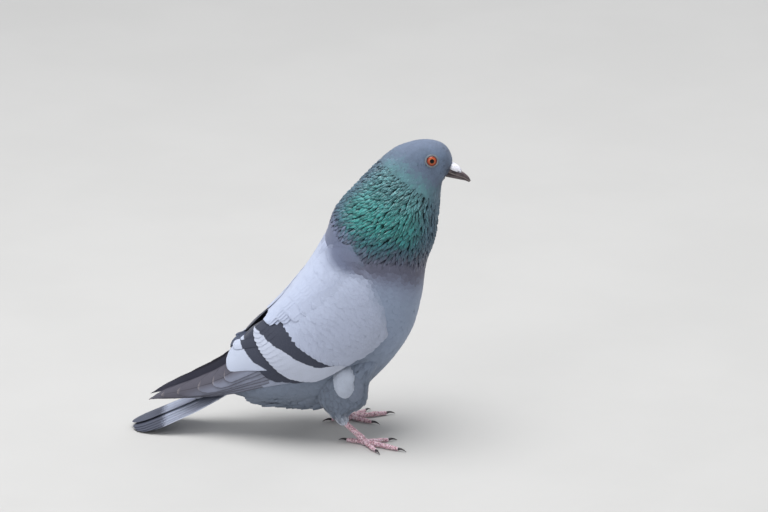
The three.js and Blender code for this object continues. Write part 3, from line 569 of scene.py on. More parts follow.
CROWN, CHEEK, THROAT = colour(100, 112, 134), colour(99, 114, 136), colour(84, 98, 118)
GREEN, DEEP_GREEN, MAUVE = colour(52, 140, 134), colour(28, 74, 90), colour(86, 95, 117)
SLATE, SHOULDER, LILAC = colour(72, 78, 98), colour(104, 112, 137), colour(134, 142, 168)
DUSK, LORES = colour(88, 88, 106), colour(84, 90, 106)
MANTLE, RUMP = colour(184, 193, 216), colour(196, 202, 218)
# The belly's grey is darker than the breast's, partly its own colour and partly painted shade of the
# underside.
BREAST, BELLY, HEM = colour(140, 153, 176), colour(110, 120, 136), colour(200, 206, 220)
# The lower coverts' grey is darker than the upper ones', partly their own colour and partly painted shade of
# the wing's lower half.
COVERT, SHADED_LOW_COVERT, BAR = colour(172, 180, 202), colour(162, 169, 188), colour(47, 52, 69)
WHITE, PRIMARY, QUILL = colour(186, 194, 212), colour(84, 82, 94), colour(50, 48, 59)
TAIL_GREY, PALE_GREY = colour(128, 133, 150), colour(185, 191, 207)

# Where the iridescent collar ends: turn from the back, section.
COLLAR = np.array([
    (0, 6.6), (0.5, 6.55), (1, 6.35), (1.3, 6.25), (1.6, 6.5), (2, 6.85), (2.9, 6.98), (3.2, 7.0),
])


def blend(a, b, f):
    return a + (b - a) * np.asarray(f)[..., None]


def round_back(turn):
    """The turn away from the middle of the back, alike on both sides."""
    return np.abs((turn + np.pi) % (2 * np.pi) - np.pi)


def collar_at(turn):
    return np.interp(round_back(turn), COLLAR[:, 0], COLLAR[:, 1])


def body_paint(at, turn):
    """The body's colour by section and turn: head, green neck, mauve fringes, mantle, breast, belly."""
    off = round_back(turn)
    above = at - collar_at(turn)
    under = rise(off, 1.1, 2.3)
    trunk = blend(MANTLE + 0 * at[..., None], BREAST, rise(off, 1.0, 1.9))
    # Low on the rear of the body the colour turns to the belly's darker grey, partly painted shade of the
    # underside.
    trunk = blend(trunk, BELLY, under * rise(5.2 - at, 0, 1.8))
    trunk = blend(trunk, RUMP, rise(2.6 - at, 0, 1.2) * (1 - rise(off, 0.9, 1.6)))
    trunk = blend(trunk, LILAC, rise(above, -2.3, -1.4) * (1 - rise(off, 1.2, 1.6)))
    trunk = blend(trunk, SHOULDER, rise(above, -1.7, -0.7) * (1 - rise(off, 1.0, 1.5)))
    trunk = blend(trunk, colour(118, 124, 148), 0.7 * rise(above, -1.2, -0.1) * rise(off, 1.1, 1.6))
    trunk = blend(trunk, DUSK, 0.9 * rise(above, -0.75, -0.05) * rise(off, 0.8, 1.5))
    neck = blend(GREEN + 0 * at[..., None], DEEP_GREEN, 0.7 * (1 - rise(above, 0.4, 1.6)))
    neck = blend(neck, DEEP_GREEN, 0.5 * rise(off, 1.9, 2.6))
    neck = blend(neck, colour(100, 138, 146), 0.75 * rise(at, 7.8, 10))
    neck = blend(neck, colour(72, 96, 114), 0.6 * (1 - rise(above, 0.3, 1.3)) * (1 - rise(off, 1.0, 1.9)))
    neck = blend(neck, colour(86, 106, 124), 0.85 * rise(off, 2.0, 2.8))
    neck = blend(neck, MAUVE, 0.75 * (1 - rise(off, 0.15, 1.0)))
    neck = blend(neck, SLATE, 0.8 * (1 - rise(above, 0.1, 0.9)) * rise(off, 1.3, 2.0))
    neck = blend(neck, DUSK, 0.9 * (1 - rise(above, -0.1, 0.55)) * rise(off, 0.8, 1.5))
    neck = blend(neck, SHOULDER, 0.9 * (1 - rise(above, 0.1, 0.6)) * (1 - rise(off, 1.1, 1.6)))
    head = blend(CHEEK + 0 * at[..., None], CROWN, 0.85 * (1 - rise(off, 0.3, 1.15)))
    head = blend(head, THROAT, rise(off, 2.2, 2.9))
    head = blend(head, LORES, 0.8 * rise(at, 14.2, 16.6) * rise(off, 0.8, 1.4))
    out = blend(trunk, neck, rise(above, -0.35, 0.35))
    return blend(out, head, rise(at, 9.8, 11.6))


# ------------------------------------------------------------------ materials
FULL_WAVE = 6.2832
FINE_BUMP, SKIN_BUMP, HORN_BUMP = 0.0001, 0.0005, 0.0002  # how deep each relief may look, in metres


def add(tree, kind, inputs=None, **settings):
    node = tree.nodes.new(kind)
    for key, value in settings.items():
        setattr(node, key, value)
    for key, value in (inputs or {}).items():
        if isinstance(value, bpy.types.NodeSocket):
            tree.links.new(value, node.inputs[key])
        else:
            node.inputs[key].default_value = value
    return node


def sums(tree, operation, a, b=None):
    node = tree.nodes.new("ShaderNodeMath")
    node.operation = operation
    for i, value in enumerate((a, b)):
        if isinstance(value, bpy.types.NodeSocket):
            tree.links.new(value, node.inputs[i])
        elif value is not None:
            node.inputs[i].default_value = value
    return node.outputs[0]


def plus(tree, a, b):
    return sums(tree, "ADD", a, b)


def minus(tree, a, b):
    return sums(tree, "SUBTRACT", a, b)


def times(tree, a, b):
    return sums(tree, "MULTIPLY", a, b)


def attribute(tree, name, socket="Fac"):
    return add(tree, "ShaderNodeAttribute", attribute_name=name).outputs[socket]


def noise(tree, where, scale, detail):
    return add(tree, "ShaderNodeTexNoise", {"Vector": where, "Scale": scale, "Detail": detail}).outputs[0]


def ramp(tree, value, start, end, low=0.0, high=1.0):
    return add(tree, "ShaderNodeMapRange", {0: value, 1: start, 2: end, 3: low, 4: high},
               interpolation_type="SMOOTHSTEP").outputs[0]


def mix(tree, factor, a, b, how="MIX"):
    node = add(tree, "ShaderNodeMix", data_type="RGBA", blend_type=how)
    for key, value in ((0, factor), (6, a), (7, b)):
        if isinstance(value, bpy.types.NodeSocket):
            tree.links.new(value, node.inputs[key])
        else:
            node.inputs[key].default_value = value if key == 0 else (*value, 1)
    return node.outputs[2]


def new_group(name, inputs, outputs):
    """A group of nodes whose sockets are all numbers; inputs gives each one's usual value."""
    group = bpy.data.node_groups.new(name, "ShaderNodeTree")
    for label, value in inputs.items():
        socket = group.interface.new_socket(label, in_out="INPUT", socket_type="NodeSocketFloat")
        socket.default_value = value
    for label in outputs:
        group.interface.new_socket(label, in_out="OUTPUT", socket_type="NodeSocketFloat")
    return group, group.nodes.new("NodeGroupInput").outputs, group.nodes.new("NodeGroupOutput").inputs


def barbs_group():
    """Barbs sweeping from the shaft to the tip, the shaft itself, and the vane's margin."""
    group, given, out = new_group(
        "feather_barbs", {"Fineness": 40.0, "Splits": 0.5, "Edge From": 0.82, "Tip From": 0.9},
        ["Height", "Shade", "Edge", "Shaft", "Tip"])
    vane = add(group, "ShaderNodeUVMap", uv_map="vane").outputs[0]
    spot = add(group, "ShaderNodeSeparateXYZ", {0: vane}).outputs
    side = times(group, sums(group, "ABSOLUTE", minus(group, spot[0], 0.5)), 2.0)
    sweep = minus(group, spot[1], times(group, sums(group, "POWER", side, 0.8), 0.16))
    lines = times(group, sweep, given["Fineness"])
    seed = times(group, attribute(group, "tone"), 37.0)
    place = add(group, "ShaderNodeCombineXYZ", {0: times(group, lines, 0.35), 1: side, 2: seed}).outputs[0]
    streak = noise(group, place, 1.6, 3.0)
    wave = sums(group, "SINE", plus(group, times(group, lines, FULL_WAVE), times(group, streak, 5.0)))
    shaft = ramp(group, side, 0.0, 0.07, 1.0, 0.0)
    edge = ramp(group, plus(group, side, times(group, streak, 0.06)), given["Edge From"], 1.02)
    tip = ramp(group, plus(group, spot[1], times(group, streak, 0.02)), given["Tip From"], 1.01)
    split = times(group, ramp(group, streak, 0.62, 0.72), given["Splits"])
    height = plus(group, times(group, wave, 0.25), minus(group, shaft, split))
    # Shade ripples with the barb ridges and darkens the splits: painted shading of the ridges and painted
    # shade in the splits.
    shade = minus(group, plus(group, 1.0, times(group, wave, 0.03)), times(group, split, 0.3))
    made = {"Height": height, "Shade": shade, "Edge": edge, "Shaft": shaft, "Tip": tip}
    for label, value in made.items():
        group.links.new(value, out[label])
    return group


def mottle_group():
    """Soft cloudy variation over a piece, by its own coordinates."""
    group, given, out = new_group("soft_mottle", {"Size": 120.0, "Amount": 0.1}, ["Shade", "Grain"])
    here = add(group, "ShaderNodeTexCoord").outputs["Object"]
    cloud = noise(group, here, given["Size"], 4.0)
    grain = noise(group, here, times(group, given["Size"], 9.0), 3.0)
    group.links.new(plus(group, 1.0, times(group, minus(group, cloud, 0.5), given["Amount"])), out["Shade"])
    group.links.new(grain, out["Grain"])
    return group


BARBS, MOTTLE = barbs_group(), mottle_group()


def new_material(name, **fixed):
    material = bpy.data.materials.new(name)
    material.use_nodes = True
    tree = material.node_tree
    shader = tree.nodes["Principled BSDF"]
    for key, value in fixed.items():
        shader.inputs[key.replace("_", " ")].default_value = value
    return material, tree, shader


def grouped(tree, group, **values):
    node = add(tree, "ShaderNodeGroup", node_tree=group)
    for key, value in values.items():
        node.inputs[key.replace("_", " ")].default_value = value
    return node.outputs


def shaded(tree, base, shade):
    """A colour made lighter or darker by shade."""
    tone = add(tree, "ShaderNodeCombineColor", {0: shade, 1: shade, 2: shade}).outputs[0]
    return mix(tree, 1.0, base, tone, "MULTIPLY")


def two_tones(tree, clouds, base, other, spread=0.15):
    """Two colours of one stuff, mixed in soft clouds."""
    return mix(tree, ramp(tree, clouds["Shade"], 1 - spread, 1 + spread), base, other)


def finish_surface(tree, shader, base, grain=None, rough=None, bump=0.0, depth=FINE_BUMP, height=None):
    """Gives a shader its colour, a roughness that varies with the grain, and a fine relief."""
    tree.links.new(base, shader.inputs["Base Color"])
    if rough is not None:
        tree.links.new(ramp(tree, grain, 0.3, 0.7, *rough), shader.inputs["Roughness"])
    if height is not None:
        relief = add(tree, "ShaderNodeBump", {"Strength": bump, "Distance": depth, "Height": height})
        tree.links.new(relief.outputs[0], shader.inputs["Normal"])


def feather_material(name, fineness=30, splits=0.5, rough=(0.55, 0.75), bump=0.25, edge=None, edge_by=0.0,
                     tip=None, tip_by=0.0, dark=BAR, shaft=0.0, cloud=0.12, edge_from=0.82, tip_from=0.9,
                     **fixed):
    """Vanes coloured by their plumage attribute, darkened where bar is above 0, with barbs and margins."""
    material, tree, shader = new_material(name, **fixed)
    barbs = grouped(tree, BARBS, Fineness=fineness, Splits=splits, Edge_From=edge_from, Tip_From=tip_from)
    clouds = grouped(tree, MOTTLE, Size=140.0, Amount=cloud)
    ragged = plus(tree, attribute(tree, "bar"), times(tree, minus(tree, clouds["Grain"], 0.5), 1.6))
    base = mix(tree, ramp(tree, ragged, -0.35, 0.35), attribute(tree, "plumage", "Color"), dark)
    if edge is not None:
        base = mix(tree, times(tree, barbs["Edge"], edge_by), base, edge)
    if tip is not None:
        base = mix(tree, times(tree, barbs["Tip"], tip_by), base, tip)
    if shaft:
        base = mix(tree, times(tree, barbs["Shaft"], shaft), base, QUILL)
    base = shaded(tree, base, times(tree, barbs["Shade"], clouds["Shade"]))
    finish_surface(tree, shader, base, clouds["Grain"], rough, bump, FINE_BUMP, barbs["Height"])
    return material


SOFT = feather_material(
    "contour_feathers", fineness=16, splits=0.25, rough=(0.7, 0.9), bump=0.15, Sheen_Weight=0.15)
FACE = feather_material(
    "face_feathers", fineness=14, splits=0.4, rough=(0.7, 0.9), bump=0.3, cloud=0.45, Sheen_Weight=0.12)
# The downy feathers' dark margins are painted shade in the clefts between them.
DOWN = feather_material(
    "downy_feathers", fineness=12, splits=0.9, rough=(0.8, 0.95), bump=0.45, cloud=0.4,
    edge=colour(84, 92, 108), edge_by=0.4, edge_from=0.45, Sheen_Weight=0.2)
# The hackles' dark margins are painted shade in the gaps between them.
HACKLE = feather_material(
    "neck_hackles", fineness=14, splits=0.4, rough=(0.3, 0.5), bump=0.3, cloud=0.5,
    edge=colour(58, 66, 88), edge_by=0.5, edge_from=0.3, Sheen_Weight=0.1)
COVERTS = feather_material(
    "wing_coverts", fineness=26, splits=0.3, rough=(0.6, 0.8), bump=0.2, Sheen_Weight=0.15)
FLIGHT = feather_material(
    "flight_feathers", fineness=60, rough=(0.42, 0.62), bump=0.35, edge=QUILL, edge_by=0.9, edge_from=0.84,
    tip=colour(158, 150, 152), tip_by=0.5, tip_from=0.978, shaft=0.7)
BANDED = feather_material("secondary_feathers", fineness=50, rough=(0.5, 0.7), bump=0.3, shaft=0.3)
RECTRIX = feather_material(
    "tail_feathers", fineness=60, rough=(0.5, 0.7), bump=0.35, edge=colour(96, 100, 116), edge_by=0.3,
    shaft=0.4, dark=colour(74, 78, 93))


def skin_material():
    material, tree, shader = new_material("shaded_skin_under_coat", Roughness=0.9)
    clouds = grouped(tree, MOTTLE, Size=260.0, Amount=0.3)
    # The skin is painted at 0.8 of its plumage colour: painted shade where it shows between the feathers.
    base = shaded(tree, attribute(tree, "plumage", "Color"), times(tree, clouds["Shade"], 0.8))
    finish_surface(tree, shader, base, bump=0.5, depth=SKIN_BUMP, height=clouds["Grain"])
    return material


def plain_material(name, base, other, size, rough, bump):
    """Two tones of one stuff in soft clouds, with a fine grain."""
    material, tree, shader = new_material(name)
    clouds = grouped(tree, MOTTLE, Size=size, Amount=1.0)
    grain = clouds["Grain"]
    finish_surface(tree, shader, two_tones(tree, clouds, base, other), grain, rough, bump, HORN_BUMP, grain)
    return material


def horn_material():
    """Dark horn with growth streaks along the bill and a pale line by the mouth."""
    material, tree, shader = new_material("bill_horn")
    clouds = grouped(tree, MOTTLE, Size=240.0, Amount=1.0)
    grain = clouds["Grain"]
    base = two_tones(tree, clouds, colour(58, 50, 53), colour(98, 86, 88))
    line = ramp(tree, plus(tree, attribute(tree, "mouth"), times(tree, grain, 0.5)), 0.3, 0.9, 0.75, 0.0)
    base = mix(tree, line, base, colour(168, 156, 152))
    finish_surface(tree, shader, base, grain, (0.28, 0.45), 0.15, HORN_BUMP, grain)
    return material


def scale_material():
    """Pink skin in scales with paler grooves, some of the plates pale and some dark."""
    material, tree, shader = new_material("scaly_leg_skin", Subsurface_Weight=0.08)
    here = add(tree, "ShaderNodeTexCoord").outputs["Object"]
    clouds = grouped(tree, MOTTLE, Size=220.0, Amount=1.0)
    net = add(tree, "ShaderNodeTexVoronoi", {"Vector": here, "Scale": 1100.0}, feature="DISTANCE_TO_EDGE")
    groove = ramp(tree, net.outputs[0], 0.0, 0.16)
    base = two_tones(tree, clouds, colour(210, 156, 172), colour(180, 114, 134), 0.2)
    base = mix(tree, groove, colour(236, 218, 224), base)
    plates = add(tree, "ShaderNodeTexVoronoi", {"Vector": here, "Scale": 900.0}, feature="F1")
    each = add(tree, "ShaderNodeSeparateColor", {0: plates.outputs["Color"]}).outputs
    base = mix(tree, times(tree, ramp(tree, each[0], 0.6, 0.7), 0.55), base, colour(240, 222, 228))
    base = mix(tree, times(tree, ramp(tree, each[1], 0.72, 0.8), 0.6), base, colour(118, 64, 80))
    finish_surface(tree, shader, base, clouds["Grain"], (0.42, 0.62), 0.5, HORN_BUMP, groove)
    return material


def eye_material():
    """An orange iris with a bright ring round the pupil and a dark rim, its radii in millimetres."""
    material, tree, shader = new_material(
        "wet_eye", Roughness=0.25, Specular_IOR_Level=0.2, Coat_Weight=0.2, Coat_Roughness=0.03)
    out = attribute(tree, "from_axis")
    fibre = noise(tree, attribute(tree, "round_axis", "Vector"), 9.0, 4.0)
    iris = mix(tree, ramp(tree, fibre, 0.35, 0.65), colour(150, 60, 44), colour(178, 88, 54))
    iris = mix(tree, ramp(tree, out, 1.7, 2.6, 0.5, 0.0), iris, colour(198, 122, 58))
    iris = mix(tree, ramp(tree, out, 3.0, 3.8), iris, colour(92, 30, 26))
    finish_surface(tree, shader, mix(tree, ramp(tree, out, 1.65, 1.85), colour(3, 2, 4), iris))
    return material


SKIN, SCALES, WET_EYE = skin_material(), scale_material(), eye_material()
HORN = horn_material()
POWDER = plain_material("powdery_cere", colour(222, 222, 232), colour(244, 244, 250), 320.0, (0.7, 0.9), 0.4)
LID_SKIN = plain_material(
    "eyelid_skin", colour(112, 120, 128), colour(130, 134, 138), 500.0, (0.5, 0.7), 0.5)
CLAW_HORN = plain_material("claw_horn", colour(36, 32, 36), colour(70, 62, 66), 400.0, (0.3, 0.45), 0.15)
FLOOR = plain_material("pale_floor", colour(190, 189, 187), colour(192, 191, 189), 8.0, (0.85, 0.9), 0.02)


# ------------------------------------------------------------------ camera, floor and light
CAMERA = {"azimuth": 5, "elevation": 19, "distance": 12.0, "lens": 721.2, "sensor": 36, "far": 50}
AIM = {"right": 0.02106, "up": 0.1371}  # from the point between the feet, across and up the view
SKY, SKY_STRENGTH = (0.92, 0.95, 1.0, 1), 0.5
LAMPS = {  # where each is, how wide and how strong
    "sky": ((-0.2, -0.1, 2.2), 1.8, 52),
    "window": ((-1.3, -1.9, 1.3), 1.2, 10),
    "far_side": ((1.2, 1.6, 1.2), 1.2, 6),
}
LIT_PLACE = (0, 0, 0.1)
FLOOR_SIZE, FLOOR_DROP = 14, 0.0003


def aim_camera():
    """A long lens that looks at the bird's right side from a little above."""
    azimuth, elevation = math.radians(CAMERA["azimuth"]), math.radians(CAMERA["elevation"])
    right = np.array([math.cos(azimuth), math.sin(azimuth), 0])
    ahead = np.array([-math.sin(azimuth), math.cos(azimuth), 0])
    up = ahead * math.sin(elevation) + (0, 0, math.cos(elevation))
    back = -ahead * math.cos(elevation) + (0, 0, math.sin(elevation))
    aim = np.array([FORWARD, 0, 0]) * MM + right * AIM["right"] + up * AIM["up"]
    camera = bpy.data.objects.new("camera", bpy.data.cameras.new("camera"))
    camera.data.lens = CAMERA["lens"]
    camera.data.sensor_width = CAMERA["sensor"]
    camera.data.clip_end = CAMERA["far"]
    camera.location = aim + back * CAMERA["distance"]
    camera.rotation_euler = (math.pi / 2 - elevation, 0, azimuth)
    bpy.context.scene.collection.objects.link(camera)
    bpy.context.scene.camera = camera


def soft_light(name, place, size, watts):
    lamp = bpy.data.lights.new(name, "AREA")
    lamp.shape = "DISK"
    lamp.size = size
    lamp.energy = watts
    thing = bpy.data.objects.new(name, lamp)
    thing.location = place
    x, y, z = np.array(LIT_PLACE) - np.array(place)
    thing.rotation_euler = (math.atan2(math.hypot(x, y), -z), 0, math.atan2(-x, y))
    bpy.context.scene.collection.objects.link(thing)


def set_stage():
    clear_selection()
    bpy.ops.mesh.primitive_plane_add(size=FLOOR_SIZE, location=(0, 0, -FLOOR_DROP))
    floor = bpy.context.object
    floor.name = "floor"
    floor.data.transform(floor.matrix_world)
    floor.matrix_world.identity()
    floor.location = (0, 0, 0)
    floor.data.materials.append(FLOOR)
    world = bpy.data.worlds.new("studio")
    world.use_nodes = True
    background = world.node_tree.nodes["Background"]
    background.inputs["Color"].default_value = SKY
    background.inputs["Strength"].default_value = SKY_STRENGTH
    bpy.context.scene.world = world
    for name, (place, size, watts) in LAMPS.items():
        soft_light(name, place, size, watts)


aim_camera()
set_stage()
bpy.context.scene.view_settings.view_transform = "Standard"


# ------------------------------------------------------------------ the skin
SKIN_VOXEL, CERE_VOXEL = 1.3, 0.2


def coat_depth(at):
    """How deep the feathers lie over the skin: deep on the trunk, thin on the face."""
    return lerp(lerp(3.2, 2.4, rise(at, 5.5, 7.5)), 1.2, rise(at, 9, 11)) * lerp(1, 0.35, rise(at, 15.5, 17))


def body_skin():
    """One skin for trunk, neck, head and thighs, sunk by the depth of the coat."""
    trunk = barrel("skin", 72, 150)

    def place(turn, height, reach):
        at = lerp(-0.02, 17, height)
        lores = 1.5 * rise(at, 15.9, 17) * rise(round_back(turn), 0.9, 1.5)
        axis = (body_point(at, 0 * turn) + body_point(at, 0 * turn + np.pi)) / 2
        return np.where(on_rim(reach)[:, None], body_point(at, turn, -coat_depth(at) - lores), axis)

    mould(trunk, place)
    legs = []
    for name, side in SIDES.items():
        leg = barrel("thigh_skin_" + name, 32, 40)

        def place_leg(turn, height, reach, side=side):
            down = height * 0.94
            p = thigh_point(down, turn, side)
            axis = (thigh_point(down, 0 * turn, side) + thigh_point(down, 0 * turn + np.pi, side)) / 2
            shrink = 1 - 2.0 / np.maximum(np.linalg.norm(p - axis, axis=1, keepdims=True), 4)
            return np.where(on_rim(reach)[:, None], axis + (p - axis) * shrink, axis)

        mould(leg, place_leg)
        legs.append(leg)
    skin = join([trunk, *legs], "skin")
    finish_with(skin, "REMESH", mode="VOXEL", voxel_size=SKIN_VOXEL * MM)
    finish_with(skin, "SMOOTH", factor=0.5, iterations=4)
    smooth(skin)
    at, turn, _ = where_on_body(own_places(skin))
    # The skin under the neck's hackles is painted darker: painted shade in the gaps between the hackles.
    dim = 1 - 0.75 * rise(at, 6.6, 7.4) * (1 - rise(at, 9.8, 10.6))
    put_attribute(skin, "plumage", "FLOAT_COLOR", body_paint(at, turn) * dim[:, None])
    dress(skin, SKIN, ["torso", "neck", "head", "thigh_left", "thigh_right"])


body_skin()

SMALL = Vane(4, [0, 0.4, 0.72, 0.9, 1])
MEDIUM = Vane(6, [0, 0.3, 0.55, 0.75, 0.88, 0.96, 1])
LARGE = Vane(10, [0, 0.12, 0.25, 0.4, 0.55, 0.68, 0.8, 0.88, 0.94, 0.98, 1])


# ------------------------------------------------------------------ body coat
def mirrored(points):
    """The points, with those of the right side moved over to the left."""
    return points * np.where(points[..., 1:2] < 0, (1, -1, 1), (1, 1, 1))


def under_wing(points):
    """How far inside the folded wing's outline each point lies: 0 outside it."""
    s, t = np.meshgrid(np.linspace(-6, 150, 53), np.linspace(0.02, 0.98, 25), indexing="ij")
    sheet = wing_sheet(s, t, 0 * s).reshape(-1, 3)
    edge = (np.minimum(t, 1 - t) * wing_chord(s)).ravel()
    edge = np.minimum(edge, (s + 8).ravel())
    p = mirrored(points)
    nearest = ((p[:, None, :] - sheet[None]) ** 2).sum(-1).argmin(1)
    gap = np.sqrt(((p - sheet[nearest]) ** 2).sum(-1))
    return np.where(gap < 22, edge[nearest], 0)


def lores_edge(points):
    """How far forward the face is feathered: back to the gape on the sides, over the cere's root above."""
    return np.interp(points[:, 2], [210, 213, 220, 222], [70.3, 69.3, 71.8, 90])


def by_section(start, end, low, high):
    """A measure that goes from low to high between two sections of the body."""
    return lambda at, turn: lerp(low, high, rise(at, start, end))


def loose_at(at, turn):
    """How loose the coat lies: smooth on back and breast, fluffy on the belly and behind the legs."""
    return rise(round_back(turn), 1.9, 2.6) * (1 - rise(at, 3.2, 4.6))


def swept_back(at, turn):
    """How far the hackles turn from straight down towards the nape, most on the sides of the neck."""
    off = round_back(turn)
    on_sides = rise(off, 0, 0.5) * (1 - rise(off, 1.5, 2.5))
    return 0.5 * np.sign(turn) * on_sides * rise(at - collar_at(turn), -0.2, 0.8) * (1 - rise(at, 10, 11.2))


def coat(name, at_range, candidates, spacing, long, half, lean, stand, outline, material, vary, keep):
    """Feathers strewn evenly over a stretch of the body. spacing, long, half, lean and stand are
    functions of section and turn; keep says by root, tip and turn which feathers stay."""
    at = rng.uniform(*at_range, candidates)
    turn = rng.uniform(-np.pi, np.pi, candidates)
    where = body_sheet(at, turn, 0 * at)
    off_eye = np.linalg.norm(mirrored(where) - np.array(EYE["at"]), axis=1)
    kept = scatter(where, spacing(at, turn) * lerp(0.62, 1, rise(off_eye, 7, 10)))
    at, turn, where, off_eye = at[kept], turn[kept], where[kept], off_eye[kept]
    section = np.linalg.norm(body_point(at + 0.05, turn) - body_point(at - 0.05, turn), axis=1) / 0.1
    span = long(at, turn) * rng.uniform(0.88, 1.12, len(at))
    span = np.where(off_eye < 9, np.minimum(span, np.maximum(1.6, off_eye - 4.4)), span)
    span = np.minimum(span, np.maximum(2, (at + 0.5) * section))
    tip = at - span / section
    bare = (under_wing(where) >= 11) | (off_eye <= 4.7) | (where[:, 0] >= lores_edge(where))
    seen = ~bare & keep(at, tip, turn)
    at, turn, tip, span = at[seen], turn[seen], tip[seen], span[seen]
    count = len(at)
    wide = half(at, turn) * rng.uniform(0.9, 1.1, count)
    f, c, h = SMALL.spread()
    depth, out = coat_depth(at)[:, None], stand(at, turn)[:, None]
    lift = -(depth + 0.1) * (1 - f) ** (3 if material is HACKLE else 5) - 0.45 * out * c**2
    lift = lift + out * rng.uniform(-0.3, 0.7, (count, 1)) * f + 0.04 * h
    swing = rng.normal(0, 1, count) * lean(at, turn) + swept_back(at, turn)
    roots = np.stack([at, turn], 1)
    points, normals = flow_over(body_sheet, -1, roots, span, wide, swing, SMALL, outline, lift)
    by_collar = rise(np.abs(at - collar_at(turn)), 0.3, 1.3)
    stray = rng.normal(0, 1, count) * lerp(0.03, 0.14, by_collar)
    tint = body_paint(lerp(tip, at, 0.25) + stray, turn)
    tint = tint * (1 + rng.uniform(-1, 1, (count, 1)) * (vary + 0.12 * loose_at(at, turn)[:, None]))
    patch = root_patches((at - at_range[0]) / (at_range[1] - at_range[0]), (turn + np.pi) / (2 * np.pi))
    softness = lerp(0.8, 0.3, by_collar) if material is HACKLE else 0.85 - 0.65 * loose_at(at, turn)
    piece = plumage(name, SMALL, points, tint, patch, normals=normals, softness=softness[:, None])
    dress(piece, material)


def hackle_stand(at, turn):
    return lerp(1.3, 0.3, rise(at, 9.4, 11)) * lerp(0.1, 1, rise(at - collar_at(turn), 0.3, 1.5))


coat(
    "coat_head", (10.6, 16.8), candidates=34000, spacing=by_section(11, 16, 1.5, 0.9),
    long=by_section(10.5, 16.4, 6.5, 2.4), half=by_section(11, 16, 1.9, 0.95),
    lean=by_section(0, 1, 0.08, 0.08), stand=by_section(10.8, 12.5, 0.3, 0.05),
    outline=rounded, material=FACE, vary=0.04,
    keep=lambda at, tip, turn: (at < 16.55) | (round_back(turn) < 1.0))
coat(
    "coat_neck", (6.2, 11.1), candidates=50000, spacing=by_section(8.5, 10.4, 1.85, 1.5),
    long=by_section(8, 10.6, 8, 5), half=by_section(8, 10.6, 1.3, 1.0),
    lean=by_section(0, 1, 0.2, 0.2), stand=hackle_stand,
    outline=pointed, material=HACKLE, vary=0.3,
    keep=lambda at, tip, turn: tip > collar_at(turn) - 0.15)
coat(
    "coat_body", (-0.2, 7.4), candidates=36000, spacing=by_section(4.5, 6.6, 3.7, 2.3),
    long=by_section(4, 6.6, 16, 9.5),
    half=lambda at, turn: lerp(4.8, 3.0, rise(at, 4, 6.6)) - 1.8 * loose_at(at, turn),
    lean=lambda at, turn: 0.07 + 0.2 * loose_at(at, turn),
    stand=lambda at, turn: 0.03 + 3.6 * loose_at(at, turn),
    outline=rounded, material=SOFT, vary=0.02,
    keep=lambda at, tip, turn: at < collar_at(turn) + 0.3)


def thigh_coat(name, side):
    """The feathered thigh, with its pale hem above the shank."""
    down, turn = rng.uniform(0.02, 1.0, 12000), rng.uniform(-np.pi, np.pi, 12000)
    sheet = thigh_sheets[side]
    where = sheet(down, turn, 0 * down)
    kept = scatter(where, lerp(2.3, 1.4, rise(down, 0.5, 1)))
    down, turn, where = down[kept], turn[kept], where[kept]
    at, around, reach = where_on_body(where)
    clear = reach > 0.93
    down, turn, at, around = down[clear], turn[clear], at[clear], around[clear]
    count = len(down)
    span = lerp(12, 6, rise(down, 0.45, 1)) * rng.uniform(0.8, 1.2, count)
    wide = lerp(2.8, 1.5, rise(down, 0.4, 1))
    f, c, h = SMALL.spread()
    fluff = rng.uniform(-0.1, 1.3, (count, 1)) * f * lerp(0.25, 1, rise(down, 0.15, 0.6))[:, None]
    sunk = 1.2 * (1 - rise(down, 0.02, 0.2))[:, None]
    lift = -1.6 * (1 - f) ** 3 - 0.25 * c**2 + fluff - sunk + 0.04 * h
    lean = rng.normal(0, 0.2, count)
    points, normals = flow_over(sheet, 1, np.stack([down, turn], 1), span, wide, lean, SMALL, rounded, lift)
    points[..., 2] = np.maximum(points[..., 2], THIGH_HEM)
    # Downwards the thigh takes the belly's darker grey, partly painted shade under the body.
    tint = blend(body_paint(at, around), BELLY, rise(down, 0.05, 0.4))
    tint = blend(tint, HEM, 0.95 * rise(down, 0.66, 0.95)) * rng.uniform(0.92, 1.06, (count, 1))
    patch = root_patches(down / 1.1, (turn + np.pi) / (2 * np.pi))
    softness = lerp(0.8, 0.35, rise(down, 0.1, 0.5))[:, None]
    piece = plumage("coat_thigh_" + name, SMALL, points, tint, patch, normals=normals, softness=softness)
    dress(piece, DOWN)


